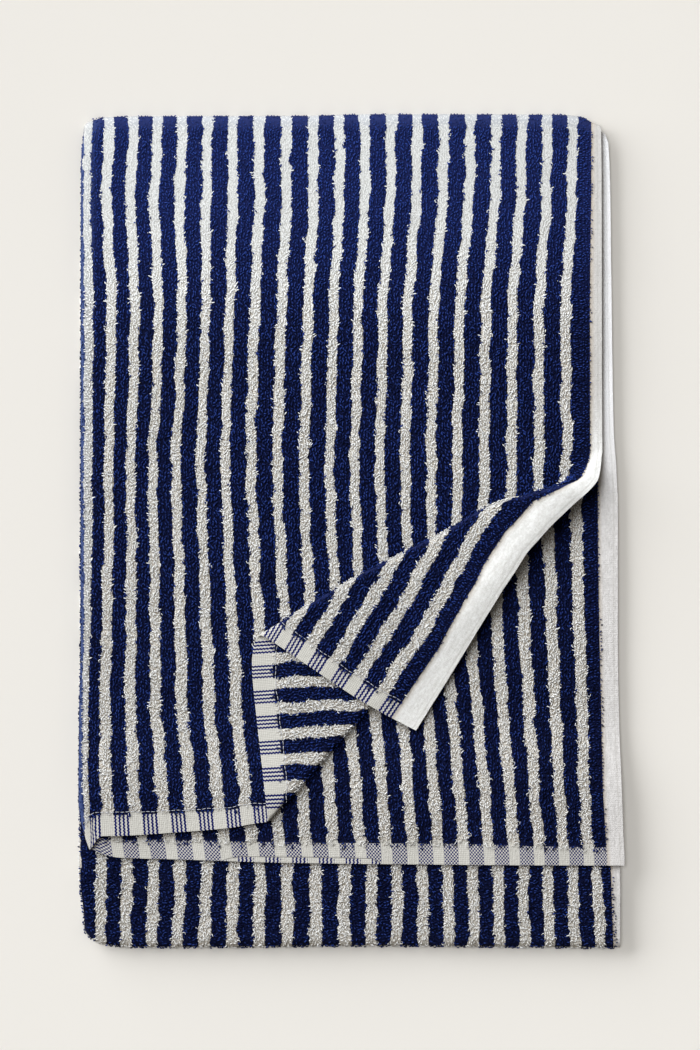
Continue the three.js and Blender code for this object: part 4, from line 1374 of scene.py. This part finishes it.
def pile_ground(shading, stripe):
    """The cloth between the loops, painted darker than their yarn as shade where they stand, with
    stripes that stray as theirs do, and where it is navy.
    """
    strayed = abs(from_middle(stripe + shading["stray"]))
    ragged = (shading.noise(scale=420.0) - 0.5) * RAGGED
    reach = strayed + ragged - shading["swell"] * STRIPE_PITCH
    not_navy = reach.above(edge=HALF_WIDTH, blur=0.2)
    # Painted shade in the creases between small cells, with random variation away from them
    clear_of_crease_shade = shading.cells(scale=560.0).above(edge=0.13, blur=0.12)
    clear_of_crease_shade = clear_of_crease_shade * (shading.noise(scale=900.0) * 0.9 + 0.55)
    deep, flat = [], []
    for colour in ("navy", "ivory"):
        ground, still = (shading.paint(clear_of_crease_shade, f"{colour}_{kind}") for kind in ("ground", "calm"))
        deep.append(shading.mix(shading["calm"], ground, still))
        pressed = shading.paint(shading.noise(scale=500.0), f"{colour}_flat")
        flat.append(shading.tint(shading["side"], pressed, f"{colour}_side"))
    upright = shading["nap"].above(edge=0.65, blur=0.35)
    flat, deep = shading.mix(not_navy, *flat), shading.mix(not_navy, *deep)
    return shading.mix(upright, flat, deep), 1.0 - not_navy


def plain_weave(shading, stripe, along):
    """Ribs and picks of the hems' plain weave, roughly from 0 to 1."""
    grain = shading.noise(scale=1500.0, detail=2.0, roughness=0.7)
    rib = from_middle(stripe).wave(RIB_PITCH) * 0.5 + 0.5
    rib = rib + along.wave(PICK_PITCH) * 0.35
    return grain, grain * 0.55 + rib * 0.4


def hem_colour(shading, stripe, along, is_upper, weave):
    """Wavy dark threads on one half of the cloth, and a small check on the other, with a painted
    shadow line along the edge over the lip.
    """
    across = from_middle(stripe)
    zig = shading.math("PINGPONG", along, ZIG_LENGTH / 2)
    zig = (zig - ZIG_LENGTH / 4) * (ZIG_SWAY * 4 / ZIG_LENGTH)
    lane = HALF_WIDTH / THREADS_A_STRIPE
    line = shading.math("PINGPONG", across + zig + lane, lane).below(LINE_HALF, blur=0.15)
    dots = across.wave(CHECK_ACROSS, "COSINE") * along.wave(CHECK_ALONG, "COSINE")
    drawn = shading.mix(is_upper, dots.above(edge=0.0, blur=0.22), line)
    drawn = drawn * abs(across).below(HALF_WIDTH, blur=0.15)
    lip = shading["lip"]
    above_lip = shading["rim"] - lip + is_upper * PAST_LIP
    aside = abs(from_middle(stripe + LIP_SHIFT))
    lip_drawn = line * aside.below(HALF_WIDTH, blur=0.15)
    drawn = shading.mix(above_lip.below(0.0, blur=0.15), drawn, lip_drawn)
    ivory = shading.paint(weave, "ivory_weave")
    colour = shading.tint(drawn, ivory, "navy_weave")
    # Painted shadow along the edge where the hem lies over the lip
    edge_shadow = abs(above_lip - 0.3).below(0.45, blur=0.3) * lip.above(edge=1.0, blur=0.6)
    return shading.tint(edge_shadow * 0.65, colour, "lip_seam")


def band_colour(shading, outward, along, is_upper, grain):
    """The plain side band, with its relief: painted shade beside the pile, where it turns away
    and along its groove, a lower half painted darker than the upper as shade, and painted light
    where it lies beside the top panel.
    """
    edge = shading["edge"]
    twill = edge.wave(TWILL_ACROSS) * along.wave(TWILL_ALONG) * 0.3 + 0.5
    twill = twill * 0.5 + grain * 0.5
    lengthwise = shading.node("ShaderNodeCombineXYZ")
    shading.join(edge * 0.3, lengthwise.inputs[0])
    shading.join(along * 0.07, lengthwise.inputs[1])
    ridges = shading.noise(1.0, detail=3.0, roughness=0.65, at=lengthwise.outputs[0])
    fluff = shading.noise(scale=430.0, detail=3.0, roughness=0.7)
    twill = (twill * 0.3 + (ridges + fluff) * 0.6).above(edge=0.75, blur=0.3)
    beside_top = along.above(BAND_TURNS, blur=60.0) - along.above(BAND_GOES_UNDER, blur=60.0)
    # The lower half's band, painted darker as shade, and lighter beside the top panel as painted
    # light
    lower = shading.tint(beside_top, shading.paint(twill, "lower_band"), "lower_band_lit")
    turned_off = along.above(BAND_TURNS, blur=50.0)
    upper = shading.paint(twill, "upper_band")
    upper = shading.tint(turned_off * 0.7, upper, "upper_band_shaded")
    colour = shading.mix(is_upper, lower, upper)
    for name, (inside, blur, strength) in BAND_SHADES.items():
        share = outward.below(LAST_STRIPE_EDGE - inside, blur)
        if name == "band_far_shade":
            share = share * turned_off
        colour = shading.tint(share * strength, colour, name)
    # Painted shade along a groove near the band's edge
    groove = abs(edge - GROOVE_FROM_EDGE).below(GROOVE_HALF, blur=GROOVE_HALF)
    return shading.tint(groove * GROOVE_SHARE, colour, "band_groove"), twill


def ground_material():
    shading = Shading("striped_ground", linear(*PLAIN["ground"]), 0.9)
    stripe, along = shading["stripe"], shading["along"]
    outward = abs(stripe - 0.5)
    is_upper = shading["half"].above(edge=0.0, blur=0.01)
    pile, navy = pile_ground(shading, stripe)
    in_pile = (shading["hem"] + navy * NAVY_TUFT).above(edge=0.6, blur=0.5)
    grain, weave = plain_weave(shading, stripe, along)
    hem = hem_colour(shading, stripe, along, is_upper, weave)
    band, twill = band_colour(shading, outward, along, is_upper, grain)
    in_band = outward.above(edge=LAST_STRIPE_EDGE - 0.5, blur=0.02)
    shading.colour(shading.mix(in_band, shading.mix(in_pile, hem, pile), band))
    shading.bump(weave + twill * 2.0, strength=0.5, distance=0.0005)
    return shading.material


cloth.data.materials.append(ground_material())
for colour, pieces in pile_pieces.items():
    material = pile_material(colour)
    for piece in pieces:
        piece.data.materials.append(material)
stitching = Shading("stitching", linear(*PLAIN["stitch"]), 0.7)
stitching.colour(stitching.paint(stitching.noise(scale=700.0), "stitch"))
thread.data.materials.append(stitching.material)

all_pile = pile_pieces["ivory"] + pile_pieces["navy"] + [thread]
for piece in [cloth, *all_pile]:
    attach(piece, "root")
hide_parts("towel")

FLOOR_SIZE = 6.0
AMBIENT = 0.16
AMBIENT_COLOUR = (1.0, 0.93, 0.83, 1.0)
# Each soft light falls on the towel or on the floor, so that both are lit as in the photograph
WINDOW_COLOUR = (0.975, 0.985, 1.0)
WINDOWS = {
    "window": dict(power=4.45, turn=140.0, rise=40.0, spread=72.0, cast="towel"),
    "room": dict(power=5.2, turn=146.0, rise=10.0, spread=70.0, cast="floor"),
    "ceiling": dict(power=1.05, turn=146.0, rise=85.0, spread=20.0, cast="floor"),
    "walls": dict(power=0.37, turn=0.0, rise=90.0, spread=170.0, cast="floor"),
}
# A cooler window near the top end of the towel, whose light falls off along it
FAR_WINDOW = dict(power=6.6, turn=112.0, rise=50.0, away=1.05, size=0.6, cast="towel")
FAR_WINDOW_AIM = Vector((0.0, 0.15, 0.0))
FAR_WINDOW_COLOUR = (0.86, 0.93, 1.0)
CAMERA_HEIGHT = 12.0
CAMERA_REACH = 30
SENSOR = 36.0
PHOTO_WIDTH, PHOTO_HEIGHT = 700, 1050


def add_object(name, data):
    made = bpy.data.objects.new(name, data)
    bpy.context.scene.collection.objects.link(made)
    return made


def add_light(kind, name, window, colour):
    """A light that shines from a window, and the way to it."""
    data = bpy.data.lights.new(name, kind)
    data.energy, data.color = window["power"], colour
    light = add_object(name, data)
    way = way_to(window["turn"], window["rise"])
    light.rotation_euler = way.to_track_quat("Z", "Y").to_euler()
    light.light_linking.receiver_collection = lit[window["cast"]]
    return light, way


floor_mesh = bpy.data.meshes.new("floor")
reach = FLOOR_SIZE / 2
floor_corners = [(-reach, -reach, 0), (reach, -reach, 0), (reach, reach, 0), (-reach, reach, 0)]
floor_mesh.from_pydata(floor_corners, [], [(0, 1, 2, 3)])
floor = add_object("floor", floor_mesh)
paper = Shading("pale_floor", linear(*PLAIN["floor"]), 0.95)
paper.colour(paper.paint(paper.noise(scale=3.0), "floor"))
floor.data.materials.append(paper.material)

world = bpy.data.worlds.new("studio")
bpy.context.scene.world = world
world.use_nodes = True
backing = world.node_tree.nodes["Background"]
backing.inputs["Color"].default_value = AMBIENT_COLOUR
backing.inputs["Strength"].default_value = AMBIENT

lit = {}
for name, pieces in (("towel", [cloth, *all_pile]), ("floor", [floor])):
    lit[name] = bpy.data.collections.new(f"lit_{name}")
    for piece in pieces:
        lit[name].objects.link(piece)

for name, window in WINDOWS.items():
    sun, _ = add_light("SUN", name, window, WINDOW_COLOUR)
    sun.data.angle = math.radians(window["spread"])
far_window, far_way = add_light("AREA", "far_window", FAR_WINDOW, FAR_WINDOW_COLOUR)
far_window.data.shape = "SQUARE"
far_window.data.size = FAR_WINDOW["size"]
far_window.location = FAR_WINDOW_AIM + far_way * FAR_WINDOW["away"]

camera_data = bpy.data.cameras.new("camera")
camera_data.sensor_width = SENSOR
camera_data.lens = SENSOR * CAMERA_HEIGHT / (PHOTO_HEIGHT * PX * MM)
camera_data.clip_end = CAMERA_REACH
camera = add_object("camera", camera_data)
photo_middle = np.array([PHOTO_WIDTH / 2 - ZERO_PX, ZERO_PY - PHOTO_HEIGHT / 2, 0]) * PX
camera.location = (*((photo_middle + SHIFT) * MM)[:2], CAMERA_HEIGHT)
bpy.context.scene.camera = camera
bpy.context.scene.view_settings.view_transform = "Standard"
